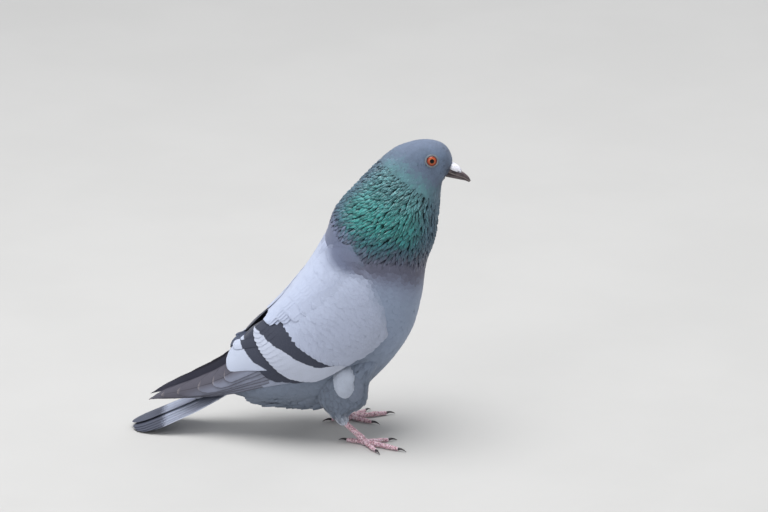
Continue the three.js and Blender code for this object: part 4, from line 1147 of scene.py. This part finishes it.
def flank_tuft(name, side, middle, size, count, height, tint):
    """A soft oval tuft that swells over the top of the thigh; middle and size are x and z."""
    sheet = thigh_sheets[side]
    back = LEFT_BACK * rise(middle[1], THIGH[0, 0], THIGH[-1, 0]) if side > 0 else 0
    down, turn = rng.uniform(0.02, 0.6, 40 * count), side * rng.uniform(0.3, 2.9, 40 * count)
    where = sheet(down, turn, 0 * down)
    away = np.hypot((where[:, 0] - middle[0] + back) / size[0], (where[:, 2] - middle[1] - 4) / size[1])
    down, turn = down[away < 1][:count], turn[away < 1][:count]
    f, c, h = SMALL.spread()

    def lift(a, b):
        here = sheet(a, b, 0 * a)
        ahead, above = here[..., 0] - middle[0] + back, here[..., 2] - middle[1]
        far = np.hypot(ahead / (size[0] * 1.25), above / (size[1] * 1.2))
        dome = height * np.sqrt(np.clip(1 - far**2, 0, 1))
        return dome - 0.4 - 1.2 * (1 - f) ** 3 - 0.12 * c**2 + 0.05 * h

    long, half = rng.uniform(6, 9, len(down)), rng.uniform(2, 2.8, len(down))
    lean = rng.normal(0, 0.1, len(down))
    points, normals = flow_over(sheet, 1, np.stack([down, turn], 1), long, half, lean, SMALL, rounded, lift)
    paint = np.tile(tint, (len(down), 1)) * rng.uniform(0.97, 1.03, (len(down), 1))
    patch = root_patches(down / 1.1, (turn + np.pi) / (2 * np.pi))
    dress(plumage(name, SMALL, points, paint, patch, normals=normals, softness=0.5), SOFT)


for name, side in SIDES.items():
    thigh_coat(name, side)
    flank_tuft("flank_shade_tuft_" + name, side, (1.5, 47), (6, 9), 110, 1.6, colour(118, 127, 144))
    flank_tuft("flank_tuft_" + name, side, (-6, 53), (7, 11), 170, 3.4, colour(178, 186, 202))


# ------------------------------------------------------------------ wings
FIRST_BAR = np.array([  # the rear edge of the front dark bar: t, s
    (-0.1, 97), (0.1, 95.5), (0.2, 91.5), (0.3, 91), (0.44, 88), (0.5, 85), (0.58, 81), (0.68, 77.5),
    (0.75, 74), (0.83, 68), (0.88, 60), (0.905, 54), (0.915, 48), (0.95, 38), (1.1, 25),
])
SECOND_BAR = np.array([  # the rear edge of the hind dark bar on the longest tertials
    (-0.4, 107), (-0.1, 108.5), (0.05, 110), (0.1, 112), (0.2, 111.5), (0.32, 110), (0.49, 108),
    (0.59, 104.5), (0.8, 98),
])
MEDIAN_TIPS = np.array([  # where the median coverts end
    (-0.1, 86), (0, 84), (0.1, 82), (0.24, 79), (0.38, 77), (0.49, 73.5), (0.6, 69.5), (0.69, 65.5),
    (0.77, 61.5), (0.86, 55), (0.9, 49.5), (0.94, 44), (1, 34),
])
GREATER_TIPS = np.array([  # where the greater coverts end
    (0, 95), (0.05, 96.5), (0.11, 98.5), (0.2, 99.5), (0.35, 99.5), (0.49, 98.5), (0.64, 96.5),
    (0.75, 94), (0.85, 90), (0.91, 84.5), (0.95, 77), (0.98, 64), (1, 52),
])
# The wing's front edge: t, s.
WING_FRONT = np.array([(0, -8), (0.18, -10), (0.5, -9.5), (0.7, -8), (0.85, -5), (0.98, 3), (1.05, 12)])


def along(line, t):
    """The s at which a line across the wing lies, by t."""
    return np.interp(t, line[:, 0], line[:, 1])


def pad_face(s):
    """The level that the coverts' heights are counted from: it sinks towards the flight feathers."""
    return -2.5 * rise(s, 30, 85)


def wing_pad(name, side):
    """The fleshy part of the folded wing, under its coverts."""
    pad = barrel("wing_pad_" + name, 40, 50)

    def place(turn, height, reach):
        t = 0.5 - 0.5 * np.cos(turn) * on_rim(reach)
        outer = np.sin(turn) * side < 0
        t = lerp(0.02, 0.98, t)
        s = lerp(along(WING_FRONT, t) + 2.5, PAD["end"], height)
        deep = lerp(PAD["deep"], PAD["thin"], rise(s, PAD["thin_from"], PAD["thin_to"]))
        rounding = np.abs(np.sin(turn)) ** 0.35
        core = pad_face(s) - PAD["under"] - deep / 2
        high = np.where(on_rim(reach), core + deep / 2 * np.where(outer, 1, -1) * rounding, core)
        return wing_sheet(s, t, high) * (1, side, 1)

    mould(pad, place)
    smooth(pad, 60)
    put_attribute(pad, "plumage", "FLOAT_COLOR", np.tile(COVERT, (len(pad.data.vertices), 1)))
    dress(pad, SKIN, ["wing_" + name])


MANTLE_RISE = np.array([  # how high the back stands over the wings' edges: s, height
    (4, 16), (10, 13.5), (18, 9), (25, 6.8), (35, 4.4), (46, 2.5), (60, 1.2), (73, 0.6),
    (100, 0.4), (128, 0),
])
MANTLE_EDGE = 0.07  # the t at which a wing's feathers bend over onto the back


def mantle_point(s, b):
    """The back between the wings: b is 0 on the spine and 1 where the mantle lies on a wing's upper edge."""
    out = np.abs(b)
    edge = wing_point(s, MANTLE_EDGE + 0.12 * np.clip(out - 1, 0, 2))
    way = wing_point(s + 2, MANTLE_EDGE + 0 * s) - wing_point(s - 2, MANTLE_EDGE + 0 * s)
    up = unit(np.stack([way[..., 2], 0 * s, -way[..., 0]], -1))
    high = 0.9 + np.interp(s, MANTLE_RISE[:, 0], MANTLE_RISE[:, 1]) * (1 - np.clip(out, 0, 1) ** 2)
    y = edge[..., 1] * np.clip(out, 0, 1) * (out <= 1) + edge[..., 1] * (out > 1)
    return np.stack([edge[..., 0] + up[..., 0] * high, y * np.sign(b), edge[..., 2] + up[..., 2] * high], -1)


mantle_sheet = Sheet(mantle_point, (4, 130), (-1.8, 1.8), (127, 181), -1)


def draped(s, t, lift):
    """Points over the folded wing and the normals there; above its upper edge they bend onto the back."""
    over = MANTLE_EDGE - t
    b = np.clip(1 - over * wing_chord(s) / wing_sheet(s, 0 * t + MANTLE_EDGE, 0 * t)[..., 1], 0, 1.8)
    share = (rise(over, 0, 0.09) * rise(s, 5, 13) * (1 - rise(s, 104, 122)))[..., None]
    on_wings = wing_sheet.read(wing_sheet.normals, s, t)
    on_back = mantle_sheet.read(mantle_sheet.normals, s, b)
    normals = lerp(on_wings, on_back, share)
    return lerp(wing_sheet(s, t, lift), mantle_sheet(s, b, lift - 0.5), share), normals


def wing_vanes(side, vane, root, tip, half, low, high, tilt, outline, rising=1.0, bend=0.0, thick=0.1):
    """Feathers of the wing from root to tip, both (s, t) on the sheet, low and high their heights. Gives
    their corners, those corners' s and t, and the wing's own normals there."""
    f, c, h = vane.spread()
    run = (tip[:, 0] - root[:, 0])[:, None]
    s = lerp(root[:, :1], tip[:, :1], f)
    t = lerp(root[:, 1:], tip[:, 1:], f)
    wide = wing_chord(s)
    across = (tip[:, 1] - root[:, 1])[:, None] * wide
    off = c * half[:, None] * outline(f) / np.hypot(run, across)
    level = lerp(low[:, None], high[:, None], f**rising)
    s, t = s - across * off, t + run * off / wide
    plunge = 4 * (1 - rise(s - along(WING_FRONT, t), -7, 3))
    lift = level + tilt * c * rise(f, 0, 0.5) - bend * c**2 + thick * h * (1 - 0.6 * f) - plunge
    points, normals = draped(s, t, lift)
    return points * (1, side, 1), s, t, normals * (1, side, 1)


def even_places(line, start, end, count):
    """Values of t at even steps along a line across the wing."""
    t = np.linspace(start, end, 240)
    s = along(line, t)
    steps = np.hypot(np.diff(s), np.diff(t) * wing_chord((s[1:] + s[:-1]) / 2))
    reached = np.concatenate([[0], np.cumsum(steps)])
    return np.interp(np.linspace(0, reached[-1], count), reached, t)


def covert_paint(s, t):
    """Pale over the shoulder, greyer below, partly the coverts' own grey and partly painted shade of the
    wing's lower half; the front takes the colours of the body it comes from.
    """
    at, turn, _ = where_on_body(wing_sheet(s, t, 0 * s).reshape(-1, 3))
    ahead = body_paint(at, turn).reshape(*np.shape(s), 3)
    # From the pale shoulder the coverts grow greyer down the wing, partly painted shade of its lower half.
    base = blend(blend(MANTLE + 0 * s[..., None], COVERT, rise(t, 0.3, 0.6)), SHADED_LOW_COVERT, rise(t, 0.6, 1))
    lower = rise(t, 0.12, 0.34)
    return blend(ahead, base, rise(s, lerp(4, -14, lower), lerp(28, 0, lower)))


def lesser_coverts(name, side):
    """Small smooth coverts from the wing's front edge back to the median coverts."""
    s, t = rng.uniform(-19, 76, 24000), rng.uniform(-0.02, 0.95, 24000)
    kept = scatter(wing_sheet(s, t, 0 * s), lerp(2.2, 3.4, rise(s, -8, 40)))
    s, t = s[kept], t[kept]
    span = lerp(9, 15, rise(s, -10, 40)) * rng.uniform(0.92, 1.08, len(s))
    inside = (s > along(WING_FRONT, t) - 8) & (s + span < along(MEDIAN_TIPS, t) + 1)
    s, t, span = s[inside], t[inside], span[inside]
    tip = np.stack([s + span, t + rng.normal(0, 0.006, len(s))], 1)
    low = pad_face(s) - 1.5
    high = pad_face(tip[:, 0]) + lerp(0.0, 0.7, rise(s, 0, 60)) + rng.uniform(-0.04, 0.04, len(s))
    high = high - 1.3 * rise(t, 0.93, 1.0)
    half = lerp(2.8, 4.4, rise(s, -8, 40)) * lerp(1, 0.65, rise(t, 0.85, 0.95))
    points, _, _, normals = wing_vanes(side, SMALL, np.stack([s, t], 1), tip, half, low, high,
                                       0.03, rounded, 0.28, 0.06, 0.05)
    shift = rng.normal(0, 1.2, len(s))
    tint = covert_paint(s + 0.8 * span + shift, t + 0.01 * shift) * rng.uniform(0.985, 1.015, (len(s), 1))
    patch = root_patches((s + 28) / 110, (t + 0.1) / 1.2)
    softness = lerp(0.45, 0.85, rise(s, 2, 25))[:, None]
    piece = plumage("lesser_coverts_" + name, SMALL, points, tint, patch, None, normals, softness)
    dress(piece, COVERTS)


def covert_row(title, name, side, vane, root, tips, half, high, tilt, bar_edge, tint, material, rising=0.8,
               softness=0.4):
    """One overlapping row of larger feathers, each with its own cell on the bake map."""
    count = len(tips)
    low = pad_face(root[:, 0]) - 1.0
    points, s, t, normals = wing_vanes(side, vane, root, tips, half, low, high, tilt, blunt, rising, 0.15)
    bar = None
    if bar_edge is not None:
        bar = (along(bar_edge, t) + rng.uniform(-0.6, 0.6, (count, 1)) - s).ravel()
    paint = tint(s, t) * rng.uniform(0.975, 1.025, (count, 1, 1))
    piece = plumage(f"{title}_{name}", vane, points, paint, cells(count), bar, normals, softness)
    dress(piece, material)


def median_coverts(name, side):
    """The row between the lesser and the greater coverts."""
    t = even_places(MEDIAN_TIPS, 0.04, 0.94, 18)
    half = lerp(5.2, 2.6, rise(t, 0.8, 0.93))
    tips = np.stack([along(MEDIAN_TIPS, t), t], 1)
    high = pad_face(tips[:, 0]) + 1.1 - 1.3 * rise(t, 0.9, 1)
    covert_row("median_coverts", name, side, MEDIUM, tips - (22, 0.01), tips, half, high, 0.12, None,
               covert_paint, COVERTS, rising=0.5, softness=0.75)


def greater_coverts(name, side):
    """The pale crescent; the feathers by the wing's lower edge run far forward."""
    t = even_places(GREATER_TIPS, 0.07, 0.95, 17)
    half = lerp(5.6, 2.6, rise(t, 0.78, 0.94))
    tips = np.stack([along(GREATER_TIPS, t), t], 1)
    long = tips[:, 0] - along(MEDIAN_TIPS, t) + 12
    root = tips - np.stack([long, lerp(0.02, -0.005, rise(t, 0.85, 1))], 1)
    high = lerp(lerp(2.7, 1.7, rise(t, 0.1, 0.4)), -0.2, rise(t, 0.3, 0.85)) - 1.0 * rise(t, 0.92, 1)

    def tint(s, t):
        return blend(covert_paint(s, t), PALE_GREY, 0.8)

    covert_row("greater_coverts", name, side, MEDIUM, root, tips, half, high, 0.12, FIRST_BAR,
               tint, COVERTS, softness=0.75)


SCAPULAR_ROWS = (  # where the tips of a row lie, how far down it goes, how many feathers, how high
    (87, 0.14, 4, 1.7), (79, 0.22, 6, 1.4), (70, 0.29, 7, 1.2), (60, 0.33, 8, 1.1), (51, 0.36, 9, 1.0),
    (42, 0.36, 9, 0.95), (33, 0.36, 9, 1.0), (25, 0.33, 8, 1.0), (17, 0.3, 8, 1.0), (10, 0.26, 7, 0.95),
    (4, 0.2, 5, 0.8),
)


def scapulars(name, side):
    """Smooth pale feathers over the wing's root; the last of each row sink and tilt into the coverts."""
    rows = []
    for start, last, count, high in SCAPULAR_ROWS:
        for k in range(count):
            f = k / (count - 1)
            t = lerp(0.03, last, f)
            sunk = (high - lerp(-0.2, 0.3, rise(start, 5, 70))) * f**1.6
            rows.append((start - 18 * t + rng.uniform(-1, 1), t, high - sunk, f**3))
    rows = np.array(rows)
    tips, long = rows[:, :2], np.interp(rows[:, 0], [5, 40, 90], [13, 24, 34])
    root = np.stack([tips[:, 0] - long, 0.85 * tips[:, 1] + 0.02], 1)
    half, low = np.interp(tips[:, 0], [5, 60], [4.6, 6.6]), pad_face(root[:, 0]) - 0.9
    points, s, t, normals = wing_vanes(side, MEDIUM, root, tips, half, low, rows[:, 2], 0.06 - rows[:, 3:],
                                       blunt, 0.35, 0.12)
    paint = covert_paint(s, t) * rng.uniform(0.99, 1.01, (len(rows), 1, 1))
    piece = plumage("scapulars_" + name, MEDIUM, points, paint, cells(len(rows)), None, normals, 0.9)
    dress(piece, COVERTS)


def mantle():
    """Feathers that join the two wings over the back."""
    s, b = rng.uniform(9, 70, 9000), rng.uniform(-1.35, 1.35, 9000)
    kept = scatter(mantle_sheet(s, b, 0 * s), 0 * s + 3.0)
    s, b = s[kept], b[kept]
    f, c, h = SMALL.spread()
    lift = -1.4 * (1 - f) ** 3 - 0.08 * c**2 + rng.uniform(0, 0.1, (len(s), 1)) + 0.05 * h
    lift = lift - rise(np.abs(b), 0.9, 1.3)[:, None]
    long, half, lean = lerp(11, 17, rise(s, 10, 50)), 0 * s + 4.4, rng.normal(0, 0.04, len(s))
    roots = np.stack([s, b], 1)
    points, normals = flow_over(mantle_sheet, 1, roots, long, half, lean, SMALL, rounded, lift)
    at, turn, _ = where_on_body(mantle_sheet(s + 8, b, 0 * s))
    at = at + rng.normal(0, 0.2, len(at))
    tint = blend(body_paint(at, turn), MANTLE, rise(s + rng.normal(0, 2, len(s)), -4, 24))
    tint = tint * rng.uniform(0.985, 1.015, (len(s), 1))
    piece = plumage("mantle", SMALL, points, tint, root_patches(s / 100, (b + 1.5) / 3), None, normals, 0.85)
    dress(piece, SOFT)


TERTIALS = np.array([  # root s, t, tip s, t, half width, height at the tip, where its dark part ends
    (82, 0.78, 132.5, 0.05, 9.6, 3.1, 0), (78, 0.5, 121.5, -0.1, 4.6, 3.4, 112.5),
    (76, 0.32, 111.5, -0.1, 4.2, 3.3, 108), (76, 0.16, 106, -0.13, 3.6, 3.2, 112),
])


def tertials(name, side):
    """The wing's inmost flight feathers: a dark bar, then white; 0 in the table follows the hind bar."""
    root, tip, half = TERTIALS[:, 0:2], TERTIALS[:, 2:4], TERTIALS[:, 4]
    low, high = pad_face(root[:, 0]) - 1.1, TERTIALS[:, 5]
    points, s, t, normals = wing_vanes(side, LARGE, root, tip, half, low, high, 0.0, blunt, 0.45, 0.35)
    ends = np.where(TERTIALS[:, 6:] == 0, along(SECOND_BAR, t), TERTIALS[:, 6:])
    # The white greys towards each vane's edges: painted shading that rounds each feather off.
    paint = blend(WHITE + 0 * s[..., None], COVERT, 0.1 + 0.45 * np.abs(LARGE.c[None]) ** 3 + 0 * s)
    bar = (ends - s).ravel()
    piece = plumage("tertials_" + name, LARGE, points, paint, cells(len(root)), bar, normals, 0.3)
    dress(piece, COVERTS)


def secondaries(name, side):
    """Dark inner flight feathers, which carry the hind bar on below the tertials."""
    t = np.array([0.48, 0.54, 0.6, 0.66, 0.71, 0.76, 0.81, 0.85, 0.89, 0.92])
    ends = np.interp(t, [0.5, 0.56, 0.61, 0.76, 0.85, 0.9, 0.96], [112, 110, 107.5, 105, 101.5, 94, 84])
    tips = np.stack([ends, t], 1)
    high = np.interp(t, [0.5, 0.61, 0.93], [0.6, 0.4, -1.8])
    half = lerp(4.6, 3.0, rise(t, 0.75, 0.92))
    covert_row("secondaries", name, side, LARGE, tips - (34, 0.02), tips, half, high, 0.15, None,
               lambda s, t: BAR + 0 * s[..., None], BANDED, rising=1.0)


def primaries(name, side):
    """Long flight feathers, stacked so that each shows its outer web below the one before."""
    spec = PRIMARIES
    count = len(spec["tips"])
    f, c, h = LARGE.spread()
    k = np.arange(count)[:, None]
    s = lerp(spec["root"], np.array(spec["tips"])[:, None], f)
    low = lerp(np.array(spec["low_edges"])[:, None], 1, 0.8 * rise(s, 120, 200))
    top = lerp(0.45, 0.015 * (count - k), rise(s, 100, 130))
    shaft = lerp(top, low, 0.55)
    t = lerp(shaft, np.where(c < 0, top, low), np.abs(c) * round_tip(f, 0.84))
    inner, outer = spec["root_high"] - spec["root_pitch"] * k, spec["high"] - spec["pitch"] * k
    high = lerp(inner, outer, rise(s, spec["root"], spec["level_from"]))
    points = wing_sheet(s + 0 * t, t, high - 0.15 * c**2 + 0.14 * h) * (1, side, 1)
    web = rise(c + 0 * t, 0.1, 0.4) * (1 - rise(s + 0 * t, 140, 180))
    paint = blend(PRIMARY + 0 * t[..., None], colour(132, 137, 156), 0.9 * web)
    dress(plumage("primaries_" + name, LARGE, points, paint, cells(count)), FLIGHT)


mantle()
for name, side in SIDES.items():
    wing_pad(name, side)
    lesser_coverts(name, side)
    median_coverts(name, side)
    greater_coverts(name, side)
    scapulars(name, side)
    tertials(name, side)
    secondaries(name, side)
    primaries(name, side)


# ------------------------------------------------------------------ tail
def tail_vanes(title, specs, paint_of, material, stands_for=()):
    """specs rows: side, reach, root y, tip y, half width, height at the root and at the tip."""
    side, reach, root, tip, half, low, high = (column[:, None] for column in np.array(specs, float).T)
    f, c, h = LARGE.spread()
    y = side * lerp(root, tip, np.sqrt(f)) + c * half * (0.4 + 0.6 * rise(f, 0, 0.45)) * round_tip(f, 0.8)
    y = np.where(root > 3, side * np.maximum(side * y, 0.2), y)
    lift = lerp(low, high, f) - 0.12 * c**2 + 0.14 * h
    points = tail_point(f * reach, y, lift)
    points[..., 2] = np.maximum(points[..., 2], TAIL["rest"])
    paint, bar = paint_of(f + 0 * y, c * side, reach)
    dress(plumage(title, LARGE, points, paint, cells(len(specs)), bar.ravel()), material, stands_for)


COVERTS_OVER_TAIL = (  # reach, where the tip lies across, half width
    (0.4, 0, 8.0), (0.36, 7, 6.5), (0.36, -7, 6.5), (0.3, 3.5, 6), (0.3, -3.5, 6), (0.26, 10, 5.5),
    (0.26, -10, 5.5),
)
COVERTS_UNDER_TAIL = ((0.46, 0, 8.5), (0.42, 8, 6.5), (0.42, -8, 6.5), (0.36, 4, 6.5), (0.36, -4, 6.5))


def tail():
    specs = []
    for side in SIDES.values():
        for i, (reach, root, tip, half) in enumerate(RECTRICES):
            layer = (1 if side > 0 else 0) if i == 0 else 1.4 + 0.6 * i
            specs.append((side, reach, root, tip, half, -TAIL["pitch"] * layer, -TAIL["pitch"] * layer))

    def paint(f, c, reach):
        base = blend(TAIL_GREY + 0 * f[..., None], colour(162, 169, 188), rise(f, 0.3, 0.6))
        outer = (reach < 0.9) & (c > 0.05)
        base = np.where(outer[..., None], PALE_GREY, base)
        return base, (f * reach - 0.68) * 9

    tail_vanes("rectrices", specs, paint, RECTRIX, ["tail"])
    over = [(1, r, y / 2, y, w, 1.4, 0.95 - 0.05 * k) for k, (r, y, w) in enumerate(COVERTS_OVER_TAIL)]
    lowest = -TAIL["pitch"] * 7
    under = [(1, r, y / 2, y, w, lowest + 0.2, lowest - 0.9) for r, y, w in COVERTS_UNDER_TAIL]

    def grey(f, c, reach):
        return blend(colour(160, 166, 180) + 0 * f[..., None], TAIL_GREY, 0.3), 0 * f + NO_BAR

    tail_vanes("tail_coverts", over + under, grey, COVERTS)


tail()


# ------------------------------------------------------------------ head: eyes, lids, bill, cere
def out_of_eye(side):
    """The way an eye faces, as the axes of its own space, and where the eye is."""
    out = unit(np.array(EYE["faces"], float) * (1, side, 1))
    level = unit(np.cross((0, 0, 1), out))
    return np.stack([level, np.cross(out, level), out], 1), np.array(EYE["at"], float) * (1, side, 1)


def eye(name, side):
    turn, at = out_of_eye(side)
    clear_selection()
    bpy.ops.mesh.primitive_uv_sphere_add(segments=48, ring_count=36, radius=EYE["ball"])
    ball = bpy.context.object
    ball.name = "eyeball_" + name
    co = corners(ball)
    reach = np.hypot(co[:, 0], co[:, 1])
    put_attribute(ball, "from_axis", "FLOAT", np.where(co[:, 2] > 0, reach, 9))
    off = np.maximum(reach, 0.2)
    round_axis = np.stack([co[:, 0] / off, co[:, 1] / off, reach * 0.12], 1)
    found = ball.data.attributes.new("round_axis", "FLOAT_VECTOR", "POINT")
    found.data.foreach_set("vector", round_axis.astype(np.float32).ravel())
    put_corners(ball, in_frame((co - (0, 0, EYE["sink"])) @ turn.T + at))
    face_out(ball)
    smooth(ball)
    dress(ball, WET_EYE, ["eye_" + name])
    clear_selection()
    bpy.ops.mesh.primitive_torus_add(
        major_segments=72, minor_segments=14, major_radius=LID["radius"], minor_radius=LID["thick"])
    lid = bpy.context.object
    lid.name = "eyelids_" + name
    co = corners(lid)
    angle = np.arctan2(co[:, 1], co[:, 0])
    beads = 1 + 0.06 * np.sin(angle * LID["beads"]) * (co[:, 2] > 0)
    co = co * np.stack([1.03 * beads, 0.97 * beads, np.full_like(beads, 0.65)], 1)
    put_corners(lid, in_frame((co + (0, 0, -0.2)) @ turn.T + at))
    face_out(lid)
    smooth(lid)
    dress(lid, LID_SKIN)


def bill_half(title, upper):
    half_bill = barrel(title, 28, 40)

    def place(turn, height, reach):
        row = through(np.arange(len(BILL)), BILL, height * (len(BILL) - 1))
        top, low = (row[:, 0:2], row[:, 2:4]) if upper else (row[:, 2:4], row[:, 4:6])
        up = np.where(upper, np.maximum(np.cos(turn), -0.45), np.minimum(np.cos(turn), 0.45))
        f = ((up + 0.45) / 1.45 if upper else (up + 1) / 1.45)[:, None]
        f = np.where(on_rim(reach)[:, None], f, 0.5)
        middle = lerp(low, top, f)
        half = row[:, 6] * np.sin(turn) * on_rim(reach) * lerp(1, 0.8, height)
        drop = 0 if upper else 0.3
        back = -4 * (1 - height) ** 3
        return np.stack([middle[:, 0] + back, half, middle[:, 1] - drop], -1)

    mould(half_bill, place)
    co = own_places(half_bill)
    gape = np.interp(co[:, 0], BILL[:, 2], BILL[:, 3])
    put_attribute(half_bill, "mouth", "FLOAT", np.abs(co[:, 2] - gape))
    return half_bill


def lens(size, at, side, taper=0.0):
    """A flattened ball leaning forward as the bill does, for the cere's lobes and the nostrils. Taper makes
    it fuller behind and slimmer in front."""
    clear_selection()
    bpy.ops.mesh.primitive_uv_sphere_add(segments=32, ring_count=20, radius=1)
    thing = bpy.context.object
    co = corners(thing)
    co[:, 1:] *= 1 - taper * co[:, :1]
    co = co * size
    co[:, 2] = np.where(co[:, 2] < 0, co[:, 2] * 0.45, co[:, 2])
    cos, sin = math.cos(CERE["tilt"]), math.sin(CERE["tilt"])
    co = np.stack([co[:, 0] * cos + co[:, 2] * sin, co[:, 1], -co[:, 0] * sin + co[:, 2] * cos], -1)
    put_corners(thing, in_frame((co + at) * (1, side, 1)))
    face_out(thing)
    return thing


def cut(thing, tool):
    finish_with(thing, "BOOLEAN", operation="DIFFERENCE", object=tool, solver="EXACT")


def cere_and_bill():
    lobes = [lens(CERE["size"], CERE["at"], side, CERE["taper"]) for side in SIDES.values()]
    whole = join(lobes, "cere_lobes")
    finish_with(whole, "REMESH", mode="VOXEL", voxel_size=CERE_VOXEL * MM)
    finish_with(whole, "SMOOTH", factor=0.5, iterations=3)
    upper = bill_half("upper_mandible", True)
    lower = bill_half("lower_mandible", False)
    for side in SIDES.values():
        slit = lens(NOSTRIL["size"], NOSTRIL["at"], side)
        cut(whole, slit)
        cut(upper, slit)
        bpy.data.objects.remove(slit)
    smooth(whole)
    smooth(upper, 40)
    smooth(lower, 55)
    dress(whole, POWDER, ["cere"])
    dress(upper, HORN, ["bill_upper"])
    dress(lower, HORN, ["bill_lower"])


for name, side in SIDES.items():
    eye(name, side)
cere_and_bill()


# ------------------------------------------------------------------ legs and feet
def leg_places(side):
    back = LEFT_BACK if side > 0 else 0
    ankle = np.array([LEG["ankle"][0] - back, side * LEG["ankle_y"], LEG["ankle"][1]])
    foot = np.array([LEG["foot"][0] - back, side * LEG["y"], LEG["foot"][1]])
    return ankle, foot


def tube_along(path, radius, height, turn, reach, up=(0, 0, 1)):
    """Corners of a tube round a path; path and radius are functions of height from 0 to 1."""
    middle = path(height)
    way = unit(path(height + 0.01) - path(height - 0.01))
    side = unit(np.cross(np.broadcast_to(up, way.shape), way))
    top = np.cross(way, side)
    r = (radius(height, turn) * on_rim(reach))[:, None]
    return middle + side * r * np.cos(turn)[:, None] + top * r * np.sin(turn)[:, None]


def shank(name, side):
    ankle, foot = leg_places(side)
    rod = barrel("shank_" + name + "_scutes", 24, 90)

    def radius(height, turn):
        fat = np.interp(height, [0, 0.25, 0.6, 0.9, 1], [1.15, 1, 0.92, 1.08, 1.15]) * 2.3
        front = np.clip(np.sin(turn), 0, 1) ** 0.5
        plates = (height * SCUTES["shank"]) % 1
        return fat + front * (0.16 * plates - 0.2 * (plates > 0.93))

    def path(h):
        return ankle + (foot - ankle) * (np.asarray(h)[:, None] * 1.02 - 0.06)

    front = (1, 0, 0.6)
    mould(rod, lambda turn, height, reach: tube_along(path, radius, height, turn, reach, front))
    smooth(rod, 50)
    dress(rod, SCALES, ["shank_" + name])


def toe_way(side, turn):
    angle = math.radians(TOE_OUT + turn) * side
    return np.array([math.cos(angle), math.sin(angle), 0])


TOE_JOINTS = [0, 0.18, 0.36, 0.5, 0.68, 0.82, 1]
TOE_FAT = [1.2, 1.05, 1.12, 0.92, 1.08, 0.85, 0.78]
TOE_REST = [0.9, 0.55, 0.1, 0.35, 0, 0.25, 0.1]


def toe_height(radius, f):
    """How thick a toe is from its root to its claw, and how high its axis lies."""
    fat = np.interp(f, TOE_JOINTS, TOE_FAT)
    return radius * fat, radius * fat * 0.9 + np.interp(f, TOE_JOINTS, TOE_REST)


def toe(label, joint, way, long, thick):
    """A scaly toe with swollen pads under its joints, lying on the floor."""
    rod = barrel(label, 20, 70)

    def path(h):
        _, z = toe_height(thick, np.clip(h, 0, 1))
        return (joint * (1, 1, 0)) + np.asarray(h)[:, None] * long * way + np.stack([0 * z, 0 * z, z], -1)

    def radius(height, turn):
        fat, _ = toe_height(thick, height)
        over = np.clip(np.sin(turn), 0, 1) ** 0.5
        plates = (height * long / SCUTES["toe_long"]) % 1
        closing = 1 - 0.25 * rise(height, 0.97, 1)
        return fat * 0.97 * closing + over * (0.13 * plates - 0.18 * (plates > 0.9))

    mould(rod, lambda turn, height, reach: tube_along(path, radius, height, turn, reach))
    keep_above_floor(rod)
    return rod


def claw(label, joint, way, long, thick):
    """A claw that grows out of the toe's end and arches down to the floor."""
    _, z = toe_height(thick, np.array([1.0]))
    end = joint * (1, 1, 0) + way * (long - CLAW["sunk"]) + (0, 0, z[0])
    nail = barrel(label + "_claw", 14, 18)

    def path(h):
        h = np.asarray(h)[:, None]
        arch = CLAW["arch"] * np.sin(np.pi * np.clip(h, 0, 1))
        fall = lerp(0, CLAW["tip_z"] - end[2], h) + arch
        return end + way * (CLAW["long"] + CLAW["sunk"]) * h + (0, 0, 1) * fall

    def radius(height, turn):
        return lerp(CLAW["radius"], CLAW["tip"], height**1.2) * (1 - 0.12 * np.abs(np.cos(turn)))

    mould(nail, lambda turn, height, reach: tube_along(path, radius, height, turn, reach))
    keep_above_floor(nail)
    return nail


def foot(name, side):
    _, joint = leg_places(side)
    ways = {label: toe_way(side, swing) for label, (swing, _, _) in TOES.items()}
    parts = [toe(label, joint, ways[label], long, thick) for label, (_, long, thick) in TOES.items()]
    clear_selection()
    bpy.ops.mesh.primitive_uv_sphere_add(segments=28, ring_count=18, radius=FOOT_PAD["radius"])
    pad = bpy.context.object
    put_corners(pad, in_frame(corners(pad) + (joint[0], joint[1], FOOT_PAD["high"])))
    keep_above_floor(pad)
    parts.append(pad)
    whole = join(parts, "foot_" + name + "_scales")
    smooth(whole, 50)
    dress(whole, SCALES, ["foot_" + name])
    claws = [claw(label, joint, ways[label], long, thick) for label, (_, long, thick) in TOES.items()]
    nails = join(claws, "claws_" + name)
    smooth(nails, 50)
    dress(nails, CLAW_HORN, [f"claw_{name}_{label}" for label in TOES])


for name, side in SIDES.items():
    shank(name, side)
    foot(name, side)
